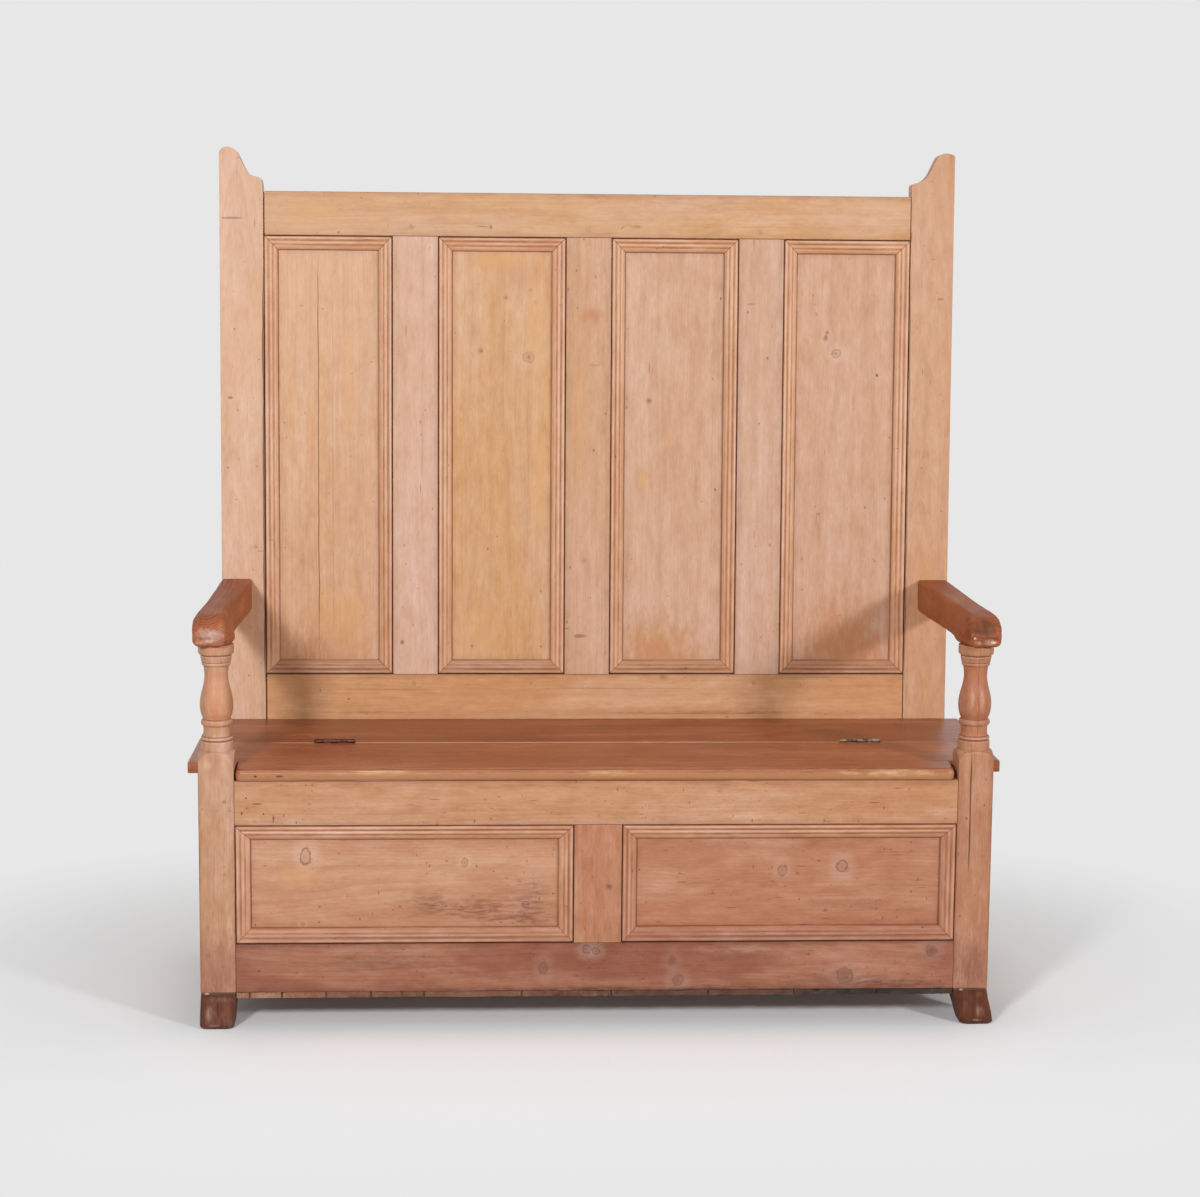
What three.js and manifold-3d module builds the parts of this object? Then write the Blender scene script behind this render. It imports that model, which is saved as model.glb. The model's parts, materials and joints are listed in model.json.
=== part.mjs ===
// A pine settle bench: a high panelled back between two stiles, arms on turned posts, and a box
// seat with a hinged lid. Millimetres, +Z up. The front faces -Y and the viewer's right is +X.
import * as THREE from 'three';
import { mergeVertices } from 'three/addons/utils/BufferGeometryUtils.js';
import Module from 'manifold-3d';

const wasm = await Module();
wasm.setup();

// Overall sizes
const benchWidth = 1480; // over the legs, and over the stiles
const seatHeight = 496; // floor to the top of the seat boards
const seatDepth = 508; // front of the legs to the front of the back, at the seat
const backHeight = 1064; // seat to the top of the top rail, along the lean
const backLean = THREE.MathUtils.degToRad(2.5);

// Clearances and cutting
const fit = 0.3; // between faces that meet
const overrun = 4; // how far a cut runs past what it cuts

// Stiles, one board each, upright below the seat and leaning above it
const stileWidth = 87;
const stileThickness = 40;
const earHeight = 88; // above the top rail

// The ears' outlines: shares of the stile's width from its outer edge, and of the ear's height
const leftEarShares = [
  [0.98, 0.2], [0.945, 0.28], [0.85, 0.32], [0.76, 0.345], [0.665, 0.4], [0.56, 0.565],
  [0.48, 0.735], [0.37, 0.915], [0.19, 0.985], [0.06, 0.94], [0, 0.85],
];
const rightEarShares = [
  [1, 0.23], [0.97, 0.29], [0.86, 0.325], [0.73, 0.38], [0.61, 0.5], [0.51, 0.685],
  [0.44, 0.835], [0.37, 0.94], [0.22, 1], [0.05, 0.965], [0, 0.93],
];

// Back frame: rails, muntins and panels, all flush with the front of the stiles
const railThickness = 28;
const topRailHeight = 87;
const seatRailHeight = 91; // above the seat
const seatRailDrop = 40; // below the seat
const shoulderGapLeft = 3; // the frame has shrunk away from the stiles
const shoulderGapRight = 1.5;
const backMuntinWidth = 91;
const backPanelCount = 4;

// Joints and panels, shared by the back and the front
const panelThickness = 10;
const panelRecess = 14; // face of the frame to face of the panel
const panelTongue = 8; // how far a panel runs into its grooves
const tenonThickness = 10;
const tenonSetback = 8; // face of the frame to the tenon
const tenonLength = 45;
const tenonShoulder = 11; // stock left above and below a tenon
const muntinTenonLength = 28;

// Mouldings planted round every panel, each strip mitred at both ends
const mouldingWidth = 27;
const mouldingGap = 1.5; // open crack between the moulding and the frame
const mouldingHeight = 15.5; // above the face of the panel
const mitreGap = 0.25;

// The moulding's section: shares of its width from its outer edge, and of its height
const mouldingSectionShares = [
  [0, 0.74], [0.02, 0.88], [0.07, 0.97], [0.13, 1], [0.19, 0.97], [0.24, 0.88], [0.265, 0.72],
  [0.33, 0.66], [0.345, 0.78], [0.4, 0.87], [0.47, 0.89], [0.54, 0.86], [0.6, 0.76], [0.63, 0.6],
  [0.68, 0.54], [0.75, 0.52], [0.85, 0.46], [0.94, 0.36], [1, 0.26],
];

// Front legs and posts, one stick each
const legWidth = 66;
const legDepth = 66;
const footHeight = 72;
const shoulderDrop = 4; // the square's corners start to round off this far below the seat
const shoulderHeight = 30; // seat to the turned base
const shoulderBulge = 4; // how far below the base the corners' curve turns in
const armUnderside = 230; // above the seat
const postTenonRadius = 12;
const postTenonLength = 28;
const turningSides = 20;
const curveSteps = 4;

// The turning: shares of the post's height from its base, and of half the leg's width
const turningShares = [
  [0.01, 0.906], [0.085, 0.897], [0.095, 0.873], [0.1, 0.818], [0.105, 0.824], [0.11, 0.867],
  [0.12, 0.891], [0.13, 0.876], [0.136, 0.83], [0.14, 0.776], [0.16, 0.755], [0.19, 0.742],
  [0.22, 0.752], [0.24, 0.776], [0.243, 0.818], [0.25, 0.858], [0.268, 0.885], [0.285, 0.864],
  [0.294, 0.818], [0.3, 0.764], [0.31, 0.776], [0.33, 0.83], [0.355, 0.879], [0.385, 0.912],
  [0.42, 0.933], [0.46, 0.927], [0.5, 0.897], [0.54, 0.848], [0.58, 0.785], [0.62, 0.724],
  [0.66, 0.679], [0.705, 0.655], [0.75, 0.67], [0.785, 0.7], [0.801, 0.724], [0.803, 0.77],
  [0.812, 0.803], [0.825, 0.806], [0.833, 0.785], [0.836, 0.815], [0.86, 0.845], [0.887, 0.873],
  [0.893, 0.855], [0.896, 0.818], [0.902, 0.818], [0.904, 0.897], [0.91, 0.958], [0.925, 0.997],
  [0.97, 1], [1, 0.988],
];

// Feet: outlines at five heights, given as shares of the foot's height, of a side's swing out
// and of the leg's half width and half depth
const footCorner = 9;
const leftFootSplay = 4; // how far the foot leans out at the floor
const rightFootSplay = 15;
const footSectionShares = [
  { height: 0, splay: 1, half: 0.86, corner: 1.5 },
  { height: 0.05, splay: 1, half: 0.96, corner: 1.3 },
  { height: 0.3, splay: 0.74, half: 0.99, corner: 1 },
  { height: 0.7, splay: 0.24, half: 1, corner: 0.8 },
  { height: 1, splay: 0, half: 0.985, corner: 0.6 },
];
const cornerSteps = 4;

// Arms: sections from the front end back. Each gives shares of the arm's length, of its half
// width on both sides of the post's middle, of its thickness, and of its corners' radii
const armThickness = 56;
const armOverhang = 18; // past the front of the legs
const armHalfWidth = 40; // at its widest, over the post
const armTenonLength = 26;
const armTenonWidth = 30;
const armTenonHeight = 34;
const armCorner = 14;
const armLowCorner = 4;
const armSectionShares = [
  { along: 0, outer: 0.76, innerLow: 0.38, innerTop: 0.34, top: 0.36, bottom: 0.14, round: 0.4 },
  { along: 0.004, outer: 0.87, innerLow: 0.51, innerTop: 0.45, top: 0.5, bottom: 0.05, round: 0.6 },
  { along: 0.012, outer: 0.95, innerLow: 0.57, innerTop: 0.49, top: 0.64, bottom: 0.01, round: 0.8 },
  { along: 0.026, outer: 0.99, innerLow: 0.63, innerTop: 0.52, top: 0.79, bottom: 0, round: 0.95 },
  { along: 0.046, outer: 1.01, innerLow: 0.68, innerTop: 0.52, top: 0.91, bottom: 0, round: 1 },
  { along: 0.076, outer: 1.01, innerLow: 0.74, innerTop: 0.49, top: 0.98, bottom: 0, round: 1 },
  { along: 0.12, outer: 0.98, innerLow: 0.79, innerTop: 0.43, top: 1.01, bottom: 0, round: 0.95 },
  { along: 0.17, outer: 0.95, innerLow: 0.79, innerTop: 0.4, top: 1.01, bottom: 0, round: 0.85 },
  { along: 0.25, outer: 0.91, innerLow: 0.66, innerTop: 0.39, top: 1, bottom: -0.03, round: 0.7 },
  { along: 0.35, outer: 0.87, innerLow: 0.54, innerTop: 0.41, top: 1, bottom: -0.06, round: 0.6 },
  { along: 0.5, outer: 0.83, innerLow: 0.5, innerTop: 0.48, top: 1, bottom: -0.09, round: 0.5 },
  { along: 0.72, outer: 0.82, innerLow: 0.58, innerTop: 0.58, top: 1, bottom: -0.12, round: 0.42 },
  { along: 0.9, outer: 0.83, innerLow: 0.65, innerTop: 0.66, top: 1, bottom: -0.14, round: 0.4 },
  { along: 1.04, outer: 0.84, innerLow: 0.68, innerTop: 0.7, top: 1, bottom: -0.14, round: 0.4 },
];

// Front of the box
const frontTopRailHeight = 84;
const frontBottomRailHeight = 92;
const frontMuntinWidth = 89;

// Seat boards and lid
const seatThickness = 22;
const seatOverhang = 26; // past the legs, at each end
const nosing = 6; // past the front of the legs
const lidDepth = 262;
const seatJoint = 1.5; // open joint between the lid and the fixed board
const notchClearance = 6; // behind the legs
const lidGapLeft = 3;
const lidGapRight = 7.5;
const boardArris = 4;
const arrisSteps = 3;

// Box
const endBoardThickness = 20;
const endBoardInset = 8; // from the outside of the legs
const endBoardTongue = 8;
const chestBackThickness = 18;
const chestBackInset = 8; // from the front of the stiles
const floorThickness = 12;
const floorJointShares = [0, 0.395, 0.625, 1];
const floorNames = ['left', 'middle', 'right'];

// Butt hinges, let into the joint between the fixed board and the lid
const hingeLength = 76;
const hingeLeafHeight = 20;
const hingeLeafThickness = 2.2;
const hingeKnuckleRadius = 4.2;
const hingeKnuckles = 5;
const hingePinRadius = 2;
const hingePinHeadRadius = 3.2;
const hingePinHeadLength = 1.6;
const hingeRise = 2.8; // pin above the top of the seat
const hingeRoom = 0.6; // round the knuckles
const hingeSides = 16;
const leftHingeInset = 239; // end of the bench to the middle of the hinge
const rightHingeInset = 214;

// Places worked out from the sizes above
const halfWidth = benchWidth / 2;
const legInner = halfWidth - legWidth;
const legMiddle = halfWidth - legWidth / 2;
const stileInner = halfWidth - stileWidth;
const seatUnderside = seatHeight - seatThickness;
const frontTopRailBottom = seatUnderside - frontTopRailHeight;
const frontBottomRailTop = footHeight + frontBottomRailHeight;
const jointY = lidDepth - nosing;
const pinHeight = seatHeight + hingeRise;
const hinges = [['left', leftHingeInset - halfWidth], ['right', halfWidth - rightHingeInset]];
const sides = [['left', -1], ['right', 1]];

// Finishes
const finish = (color, roughness, metalness = 0) => ({ color, roughness, metalness });
const palePine = finish(0xd8ac7c, 0.55);
const panelPine = finish(0xdcae74, 0.5);
const mouldingPine = finish(0xc58f68, 0.55);
const seatPine = finish(0xa0694b, 0.5);
const armWood = finish(0x8c5537, 0.45);
const footWood = finish(0x6e4d45, 0.7);
const innerPine = finish(0xb08a62, 0.75);
const hingeIron = finish(0x4a3f3c, 0.5, 0.9);
const hingeBrass = finish(0x7d6c50, 0.45, 0.9);

// Geometry helpers
const span = (a, b) => [Math.min(a, b), Math.max(a, b)];
const box = (x, y, z) => ({ x: span(...x), y: span(...y), z: span(...z) });
const grow = ({ x, y, z }, by) => ({
  x: [x[0] - by, x[1] + by],
  y: [y[0] - by, y[1] + by],
  z: [z[0] - by, z[1] + by],
});

const toSolid = (geometry) => {
  const bare = geometry.clone();
  bare.deleteAttribute('normal');
  bare.deleteAttribute('uv');
  const merged = mergeVertices(bare);
  return new wasm.Manifold(new wasm.Mesh({
    numProp: 3,
    vertProperties: new Float32Array(merged.attributes.position.array),
    triVerts: new Uint32Array(merged.index.array),
  }));
};

const toGeometry = (solid) => {
  const mesh = solid.getMesh();
  const geometry = new THREE.BufferGeometry();
  geometry.setAttribute('position', new THREE.BufferAttribute(mesh.vertProperties, 3));
  geometry.setIndex(new THREE.BufferAttribute(mesh.triVerts, 1));
  geometry.computeVertexNormals();
  return geometry;
};

const boxGeometry = ({ x, y, z }) => new THREE.BoxGeometry(x[1] - x[0], y[1] - y[0], z[1] - z[0])
  .translate((x[0] + x[1]) / 2, (y[0] + y[1]) / 2, (z[0] + z[1]) / 2);
const block = (sizes) => toSolid(boxGeometry(sizes));
const join = (first, ...rest) => rest.reduce((whole, solid) => whole.add(solid), first);
const cut = (first, ...rest) => rest.reduce((whole, solid) => whole.subtract(solid), first);
const room = (sizes) => block(grow(sizes, fit));

// A cylinder along X, Y or Z through a centre
const rod = (radius, length, axis, [x, y, z], steps) => {
  const geometry = new THREE.CylinderGeometry(radius, radius, length, steps);
  if (axis === 'x') geometry.rotateZ(Math.PI / 2);
  if (axis === 'z') geometry.rotateX(Math.PI / 2);
  return toSolid(geometry.translate(x, y, z));
};

// Triangles over a flat ring of points, turning the way the ring does
const capFaces = (ring) => {
  const normal = new THREE.Vector3();
  ring.forEach((point, i) => {
    normal.add(new THREE.Vector3().crossVectors(point, ring[(i + 1) % ring.length]));
  });
  const turn = new THREE.Quaternion()
    .setFromUnitVectors(normal.normalize(), new THREE.Vector3(0, 0, 1));
  const flat = ring.map((point) => {
    const { x, y } = point.clone().applyQuaternion(turn);
    return new THREE.Vector2(x, y);
  });
  return THREE.ShapeUtils.triangulateShape(flat, []);
};

// A closed body through rings of points, each ring with as many points as the last
const loft = (rings) => {
  const count = rings[0].length;
  const corners = rings.flat();
  const faces = capFaces(rings[0]).map(([a, b, c]) => [a, c, b]);
  for (let ring = 0; ring < rings.length - 1; ring += 1) {
    for (let i = 0; i < count; i += 1) {
      const a = ring * count + i;
      const b = ring * count + ((i + 1) % count);
      faces.push([a, b, b + count], [a, b + count, a + count]);
    }
  }
  const last = corners.length - count;
  faces.push(...capFaces(rings[rings.length - 1]).map((face) => face.map((i) => last + i)));
  const volume = faces.reduce((sum, [a, b, c]) => sum
    + corners[a].dot(new THREE.Vector3().crossVectors(corners[b], corners[c])), 0);
  const index = faces.flatMap(([a, b, c]) => (volume < 0 ? [a, c, b] : [a, b, c]));
  const geometry = new THREE.BufferGeometry().setFromPoints(corners);
  return geometry.setIndex(index);
};

// A rectangle with rounded corners, of one radius above and another below, as points round it
const roundedRing = ([x0, x1], [y0, y1], highRadius, lowRadius) => {
  const corners = [
    [x1 - highRadius, y1 - highRadius, highRadius],
    [x0 + highRadius, y1 - highRadius, highRadius],
    [x0 + lowRadius, y0 + lowRadius, lowRadius],
    [x1 - lowRadius, y0 + lowRadius, lowRadius],
  ];
  return corners.flatMap(([x, y, radius], quarter) => {
    const points = [];
    for (let i = 0; i <= cornerSteps; i += 1) {
      const angle = (quarter + i / cornerSteps) * Math.PI / 2;
      points.push([x + radius * Math.cos(angle), y + radius * Math.sin(angle)]);
    }
    return points;
  });
};

// A board from its outline in plan, with its arrises taken off, lying on a height
const roundedBoard = (outline, bottom, thickness) => {
  const shape = new THREE.Shape(outline.map(([x, y]) => new THREE.Vector2(x, y)));
  const geometry = new THREE.ExtrudeGeometry(shape, {
    depth: thickness - 2 * boardArris,
    bevelThickness: boardArris,
    bevelSize: boardArris,
    bevelOffset: -boardArris,
    bevelSegments: arrisSteps,
    steps: 1,
  });
  return toSolid(geometry.translate(0, 0, bottom + boardArris));
};

// The back leans from the seat. In its own frame y is 0 on its face and z is 0 at the seat
const leanMatrix = new THREE.Matrix4().makeTranslation(0, seatDepth, seatHeight)
  .multiply(new THREE.Matrix4().makeRotationX(-backLean));
const leaning = (geometry) => toSolid(geometry.applyMatrix4(leanMatrix));

const bench = new THREE.Group();
const back = new THREE.Group();
back.position.set(0, seatDepth, seatHeight);
back.rotation.x = -backLean;
bench.add(back);

const addPiece = (name, solid, look, parent = bench) => {
  const mesh = new THREE.Mesh(toGeometry(solid), new THREE.MeshStandardMaterial(look));
  mesh.name = name;
  parent.add(mesh);
};

// Tenons and panels, each a box that its neighbours make room for
const tenonY = [tenonSetback, tenonSetback + tenonThickness];
const panelY = [panelRecess, panelRecess + panelThickness];
const railY = [0, railThickness];
const railTenon = (side, inner, [bottom, top]) => box(
  [side * (inner - railThickness), side * (inner + tenonLength)],
  tenonY,
  [bottom + tenonShoulder, top - tenonShoulder],
);
const muntinTenon = ([left, right], [from, to]) => box(
  [left + tenonShoulder, right - tenonShoulder],
  tenonY,
  [from, to],
);
const panelBox = ([left, right], [bottom, top]) => box(
  [left - panelTongue, right + panelTongue],
  panelY,
  [bottom - panelTongue, top + panelTongue],
);

// A frame of two rails with muntins between them, from inner edge to inner edge
const openings = (inner, count, muntinWidth) => {
  const width = (2 * inner - (count - 1) * muntinWidth) / count;
  return Array.from({ length: count }, (_, i) => {
    const left = -inner + i * (width + muntinWidth);
    return [left, left + width];
  });
};

// One rail: its tenons at the ends, with room for the panels and the muntins' tenons
const rail = (inner, height, gaps, panels, muntinTenons) => cut(
  join(
    block(box([gaps[0] - inner, inner - gaps[1]], railY, height)),
    ...[-1, 1].map((side) => block(railTenon(side, inner, height))),
  ),
  ...panels.map(room),
  ...muntinTenons.map(room),
);

const muntin = (width, [bottom, top], panels) => cut(
  join(
    block(box(width, railY, [bottom + fit, top - fit])),
    block(muntinTenon(width, [bottom - muntinTenonLength, top + muntinTenonLength])),
  ),
  ...panels.map(room),
);

// The moulding's section: distance in from its outer edge, and height over the panel
const mouldingSection = () => [
  [0, fit],
  ...mouldingSectionShares.map(([across, up]) => [across * mouldingWidth, up * mouldingHeight]),
  [mouldingWidth, fit],
];

// Four mitred strips round one opening, numbered by the side they lie on
const addMouldings = (prefix, [left, right], [bottom, top], parent) => {
  const section = mouldingSection();
  const x = [left + mouldingGap, right - mouldingGap];
  const z = [bottom + mouldingGap, top - mouldingGap];
  const strips = {
    top: (u, end) => [end ? x[1] - u - mitreGap : x[0] + u + mitreGap, z[1] - u],
    bottom: (u, end) => [end ? x[1] - u - mitreGap : x[0] + u + mitreGap, z[0] + u],
    left: (u, end) => [x[0] + u, end ? z[1] - u - mitreGap : z[0] + u + mitreGap],
    right: (u, end) => [x[1] - u, end ? z[1] - u - mitreGap : z[0] + u + mitreGap],
  };
  for (const [place, corner] of Object.entries(strips)) {
    const rings = [0, 1].map((end) => section.map(([u, height]) => {
      const [px, pz] = corner(u, end);
      return new THREE.Vector3(px, panelRecess - height, pz);
    }));
    addPiece(`${prefix}_${place}`, toSolid(loft(rings)), mouldingPine, parent);
  }
};

// Back frame
const topRailZ = [backHeight - topRailHeight, backHeight];
const seatRailZ = [-seatRailDrop, seatRailHeight];
const backOpeningZ = [seatRailHeight, topRailZ[0]];
const backOpenings = openings(stileInner, backPanelCount, backMuntinWidth);
const backPanels = backOpenings.map((width) => panelBox(width, backOpeningZ));
const backMuntins = backOpenings.slice(1).map(([left], i) => [backOpenings[i][1], left]);
const backMuntinTenons = backMuntins.map((width) => muntinTenon(width, [
  backOpeningZ[0] - muntinTenonLength, backOpeningZ[1] + muntinTenonLength,
]));

const backRail = (height) => rail(
  stileInner,
  height,
  [shoulderGapLeft, shoulderGapRight],
  backPanels,
  backMuntinTenons,
);
addPiece('back_top_rail', backRail(topRailZ), palePine, back);
addPiece('back_seat_rail', backRail(seatRailZ), palePine, back);
backMuntins.forEach((width, i) => {
  addPiece(`back_muntin_${i + 1}`, muntin(width, backOpeningZ, backPanels), palePine, back);
});
backOpenings.forEach((width, i) => {
  addPiece(`back_panel_${i + 1}`, block(backPanels[i]), panelPine, back);
  addMouldings(`back_moulding_${i + 1}`, width, backOpeningZ, back);
});

// Arm: the box that its tenon fills in the stile, and the rings of its outline
const armTop = seatHeight + armUnderside + armThickness;
const armTenon = (side) => {
  const middle = armTop - armThickness / 2;
  return box(
    [side * (legMiddle - armTenonWidth / 2), side * (legMiddle + armTenonWidth / 2)],
    [seatDepth - overrun, seatDepth + armTenonLength],
    [middle - armTenonHeight / 2, middle + armTenonHeight / 2],
  );
};

const armRings = (side) => armSectionShares.map((section) => {
  const y = section.along * (seatDepth + armOverhang) - armOverhang;
  const low = seatHeight + armUnderside + section.bottom * armThickness;
  const high = seatHeight + armUnderside + section.top * armThickness;
  const width = (section.innerLow + section.outer) * armHalfWidth;
  const ring = roundedRing([0, width], [low, high], section.round * armCorner, armLowCorner);
  const lean = (section.innerLow - section.innerTop) * armHalfWidth / width;
  return ring.map(([across, z]) => {
    const up = (z - low) / (high - low);
    const inset = (width - across) * lean * up * up;
    const out = across + inset - section.innerLow * armHalfWidth;
    return new THREE.Vector3(side * (legMiddle + out), y, z);
  });
});

// What stands in the stile's side of the box
const endBoard = (side) => box(
  [side * (halfWidth - endBoardInset), side * (halfWidth - endBoardInset - endBoardThickness)],
  [legDepth - endBoardTongue, seatDepth + endBoardTongue],
  [footHeight, seatUnderside - fit],
);
const chestBack = box(
  [-stileInner - panelTongue, stileInner + panelTongue],
  [seatDepth + chestBackInset, seatDepth + chestBackInset + chestBackThickness],
  [footHeight, seatHeight - seatRailDrop - railThickness * Math.sin(backLean) - fit],
);

// Stiles
const stileSide = (side) => {
  const rise = backHeight + earHeight + overrun;
  const profile = new THREE.Shape();
  profile.moveTo(seatDepth, 0);
  profile.lineTo(seatDepth + stileThickness, 0);
  profile.lineTo(seatDepth + stileThickness, seatHeight - stileThickness * Math.tan(backLean / 2));
  profile.lineTo(
    seatDepth + rise * Math.sin(backLean) + stileThickness * Math.cos(backLean),
    seatHeight + rise * Math.cos(backLean) - stileThickness * Math.sin(backLean),
  );
  profile.lineTo(seatDepth + rise * Math.sin(backLean), seatHeight + rise * Math.cos(backLean));
  profile.lineTo(seatDepth, seatHeight);
  const geometry = new THREE.ExtrudeGeometry(profile, { depth: stileWidth, bevelEnabled: false });
  geometry.rotateY(Math.PI / 2).rotateX(Math.PI / 2);
  return toSolid(geometry.translate(side > 0 ? stileInner : -halfWidth, 0, 0));
};

const earOutline = (side, shares) => {
  const at = ([across, up]) => new THREE.Vector2(
    side * (halfWidth - across * stileWidth),
    backHeight + up * earHeight,
  );
  const outline = new THREE.Shape();
  outline.moveTo(side * (stileInner - overrun), -2 * seatHeight);
  outline.lineTo(side * (stileInner - overrun), backHeight);
  outline.lineTo(side * (stileInner + fit), backHeight);
  outline.lineTo(at(shares[0]).x, at(shares[0]).y);
  outline.splineThru(shares.slice(1).map(at));
  outline.lineTo(side * (halfWidth + overrun), at(shares[shares.length - 1]).y);
  outline.lineTo(side * (halfWidth + overrun), -2 * seatHeight);
  const geometry = new THREE.ExtrudeGeometry(outline, {
    depth: 2 * seatDepth, bevelEnabled: false, curveSegments: 2 * curveSteps,
  });
  return geometry.rotateX(Math.PI / 2).translate(0, seatDepth, 0);
};

for (const [name, side] of sides) {
  const shares = side < 0 ? leftEarShares : rightEarShares;
  const inLean = [railTenon(side, stileInner, topRailZ), railTenon(side, stileInner, seatRailZ)];
  inLean.push(backPanels[side < 0 ? 0 : backPanelCount - 1]);
  const stile = cut(
    stileSide(side).intersect(leaning(earOutline(side, shares))),
    ...inLean.map((sizes) => leaning(boxGeometry(grow(sizes, fit)))),
    room(armTenon(side)),
    room(endBoard(side)),
    room(chestBack),
  );
  addPiece(`back_stile_${name}`, stile, palePine);
}

// Front frame
const frontTopRailZ = [frontTopRailBottom, seatUnderside - fit];
const frontBottomRailZ = [footHeight, frontBottomRailTop];
const frontOpeningZ = [frontBottomRailTop, frontTopRailBottom];
const frontOpenings = openings(legInner, 2, frontMuntinWidth);
const frontPanels = frontOpenings.map((width) => panelBox(width, frontOpeningZ));
const frontMuntin = [frontOpenings[0][1], frontOpenings[1][0]];
const frontMuntinTenon = muntinTenon(frontMuntin, [
  frontOpeningZ[0] - muntinTenonLength, frontOpeningZ[1] + muntinTenonLength,
]);

const frontRail = (height) => rail(legInner, height, [fit, fit], frontPanels, [frontMuntinTenon]);
addPiece('front_top_rail', frontRail(frontTopRailZ), palePine);
addPiece('front_bottom_rail', frontRail(frontBottomRailZ), mouldingPine);
addPiece('front_muntin', muntin(frontMuntin, frontOpeningZ, frontPanels), palePine);
frontOpenings.forEach((width, i) => {
  addPiece(`front_panel_${sides[i][0]}`, block(frontPanels[i]), panelPine);
  addMouldings(`front_moulding_${sides[i][0]}`, width, frontOpeningZ, bench);
});

// Front legs: a square below, a turned post above, and a tenon up into the arm
const legTop = seatHeight + armUnderside;
const postBase = seatHeight + shoulderHeight;
const postHeight = legTop - postBase - fit;

const turnedPost = (x) => {
  const corner = Math.hypot(legWidth, legDepth) / 2;
  const outline = new THREE.Path();
  const [baseUp, baseOut] = turningShares[0];
  outline.moveTo(0, footHeight + fit);
  outline.lineTo(corner + overrun, footHeight + fit);
  outline.lineTo(corner + overrun, seatHeight - shoulderDrop);
  outline.quadraticCurveTo(
    corner,
    postBase - shoulderBulge,
    baseOut * legWidth / 2,
    postBase + baseUp * postHeight,
  );
  for (const [up, out] of turningShares.slice(1)) {
    outline.lineTo(out * legWidth / 2, postBase + up * postHeight);
  }
  outline.lineTo(postTenonRadius, legTop - fit);
  outline.lineTo(postTenonRadius, legTop + postTenonLength);
  outline.lineTo(0, legTop + postTenonLength);
  const points = outline.getPoints(curveSteps);
  const distinct = points.filter((point, i) => i === 0 || point.distanceTo(points[i - 1]) > 0);
  const geometry = new THREE.LatheGeometry(distinct, turningSides).rotateX(Math.PI / 2);
  return toSolid(geometry.translate(x, legDepth / 2, 0));
};

for (const [name, side] of sides) {
  const square = block(box(
    [side * legInner, side * halfWidth],
    [0, legDepth],
    [footHeight + fit, legTop + postTenonLength + overrun],
  ));
  const leg = cut(
    turnedPost(side * legMiddle).intersect(square),
    room(railTenon(side, legInner, frontTopRailZ)),
    room(railTenon(side, legInner, frontBottomRailZ)),
    room(frontPanels[side < 0 ? 0 : 1]),
    room(endBoard(side)),
  );
  addPiece(`front_leg_${name}`, leg, palePine);

  const footSplay = side < 0 ? leftFootSplay : rightFootSplay;
  const rings = footSectionShares.map(({ height, splay, half, corner }) => {
    const middle = side * (legMiddle + splay * footSplay);
    const x = [middle - half * legWidth / 2, middle + half * legWidth / 2];
    const y = [legDepth / 2 - half * legDepth / 2, legDepth / 2 + half * legDepth / 2];
    return roundedRing(x, y, corner * footCorner, corner * footCorner)
      .map(([px, py]) => new THREE.Vector3(px, py, height * footHeight));
  });
  addPiece(`foot_${name}`, toSolid(loft(rings)), footWood);
}

// Arms, cut off along the leaning face of the stile, with a tenon behind and a bore below
for (const [name, side] of sides) {
  const behind = box(
    [side * (stileInner - stileWidth), side * (halfWidth + stileWidth)],
    [-fit, stileThickness + tenonLength],
    [0, backHeight],
  );
  const arm = cut(
    join(
      cut(toSolid(loft(armRings(side))), leaning(boxGeometry(behind))),
      block(armTenon(side)),
    ),
    rod(
      postTenonRadius + fit,
      postTenonLength + overrun + fit,
      'z',
      [side * legMiddle, legDepth / 2, legTop + (postTenonLength + fit - overrun) / 2],
      turningSides,
    ),
  );
  addPiece(`arm_${name}`, arm, armWood);
}

// Box: ends, back and floor
for (const [name, side] of sides) {
  addPiece(`end_board_${name}`, block(endBoard(side)), palePine);
}
addPiece('chest_back_board', block(chestBack), innerPine);

const floorHalf = halfWidth - endBoardInset;
const floorBack = seatDepth + chestBackInset + chestBackThickness;
floorNames.forEach((name, i) => {
  const edges = floorJointShares.slice(i, i + 2).map((share) => floorHalf * (2 * share - 1));
  const board = block(box(
    [edges[0] + fit, edges[1] - fit],
    [0, floorBack],
    [footHeight - floorThickness, footHeight - fit],
  ));
  const posts = sides.flatMap(([, side]) => [
    box([side * legInner, side * (halfWidth + rightFootSplay)], [-overrun, legDepth], [0, seatHeight]),
    box([side * stileInner, side * halfWidth], [seatDepth, seatDepth + stileThickness], [0, seatHeight]),
  ]);
  const notches = posts.map((sizes) => block(grow(sizes, 2 * fit)));
  addPiece(`chest_floor_${name}`, cut(board, ...notches), innerPine);
});

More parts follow.
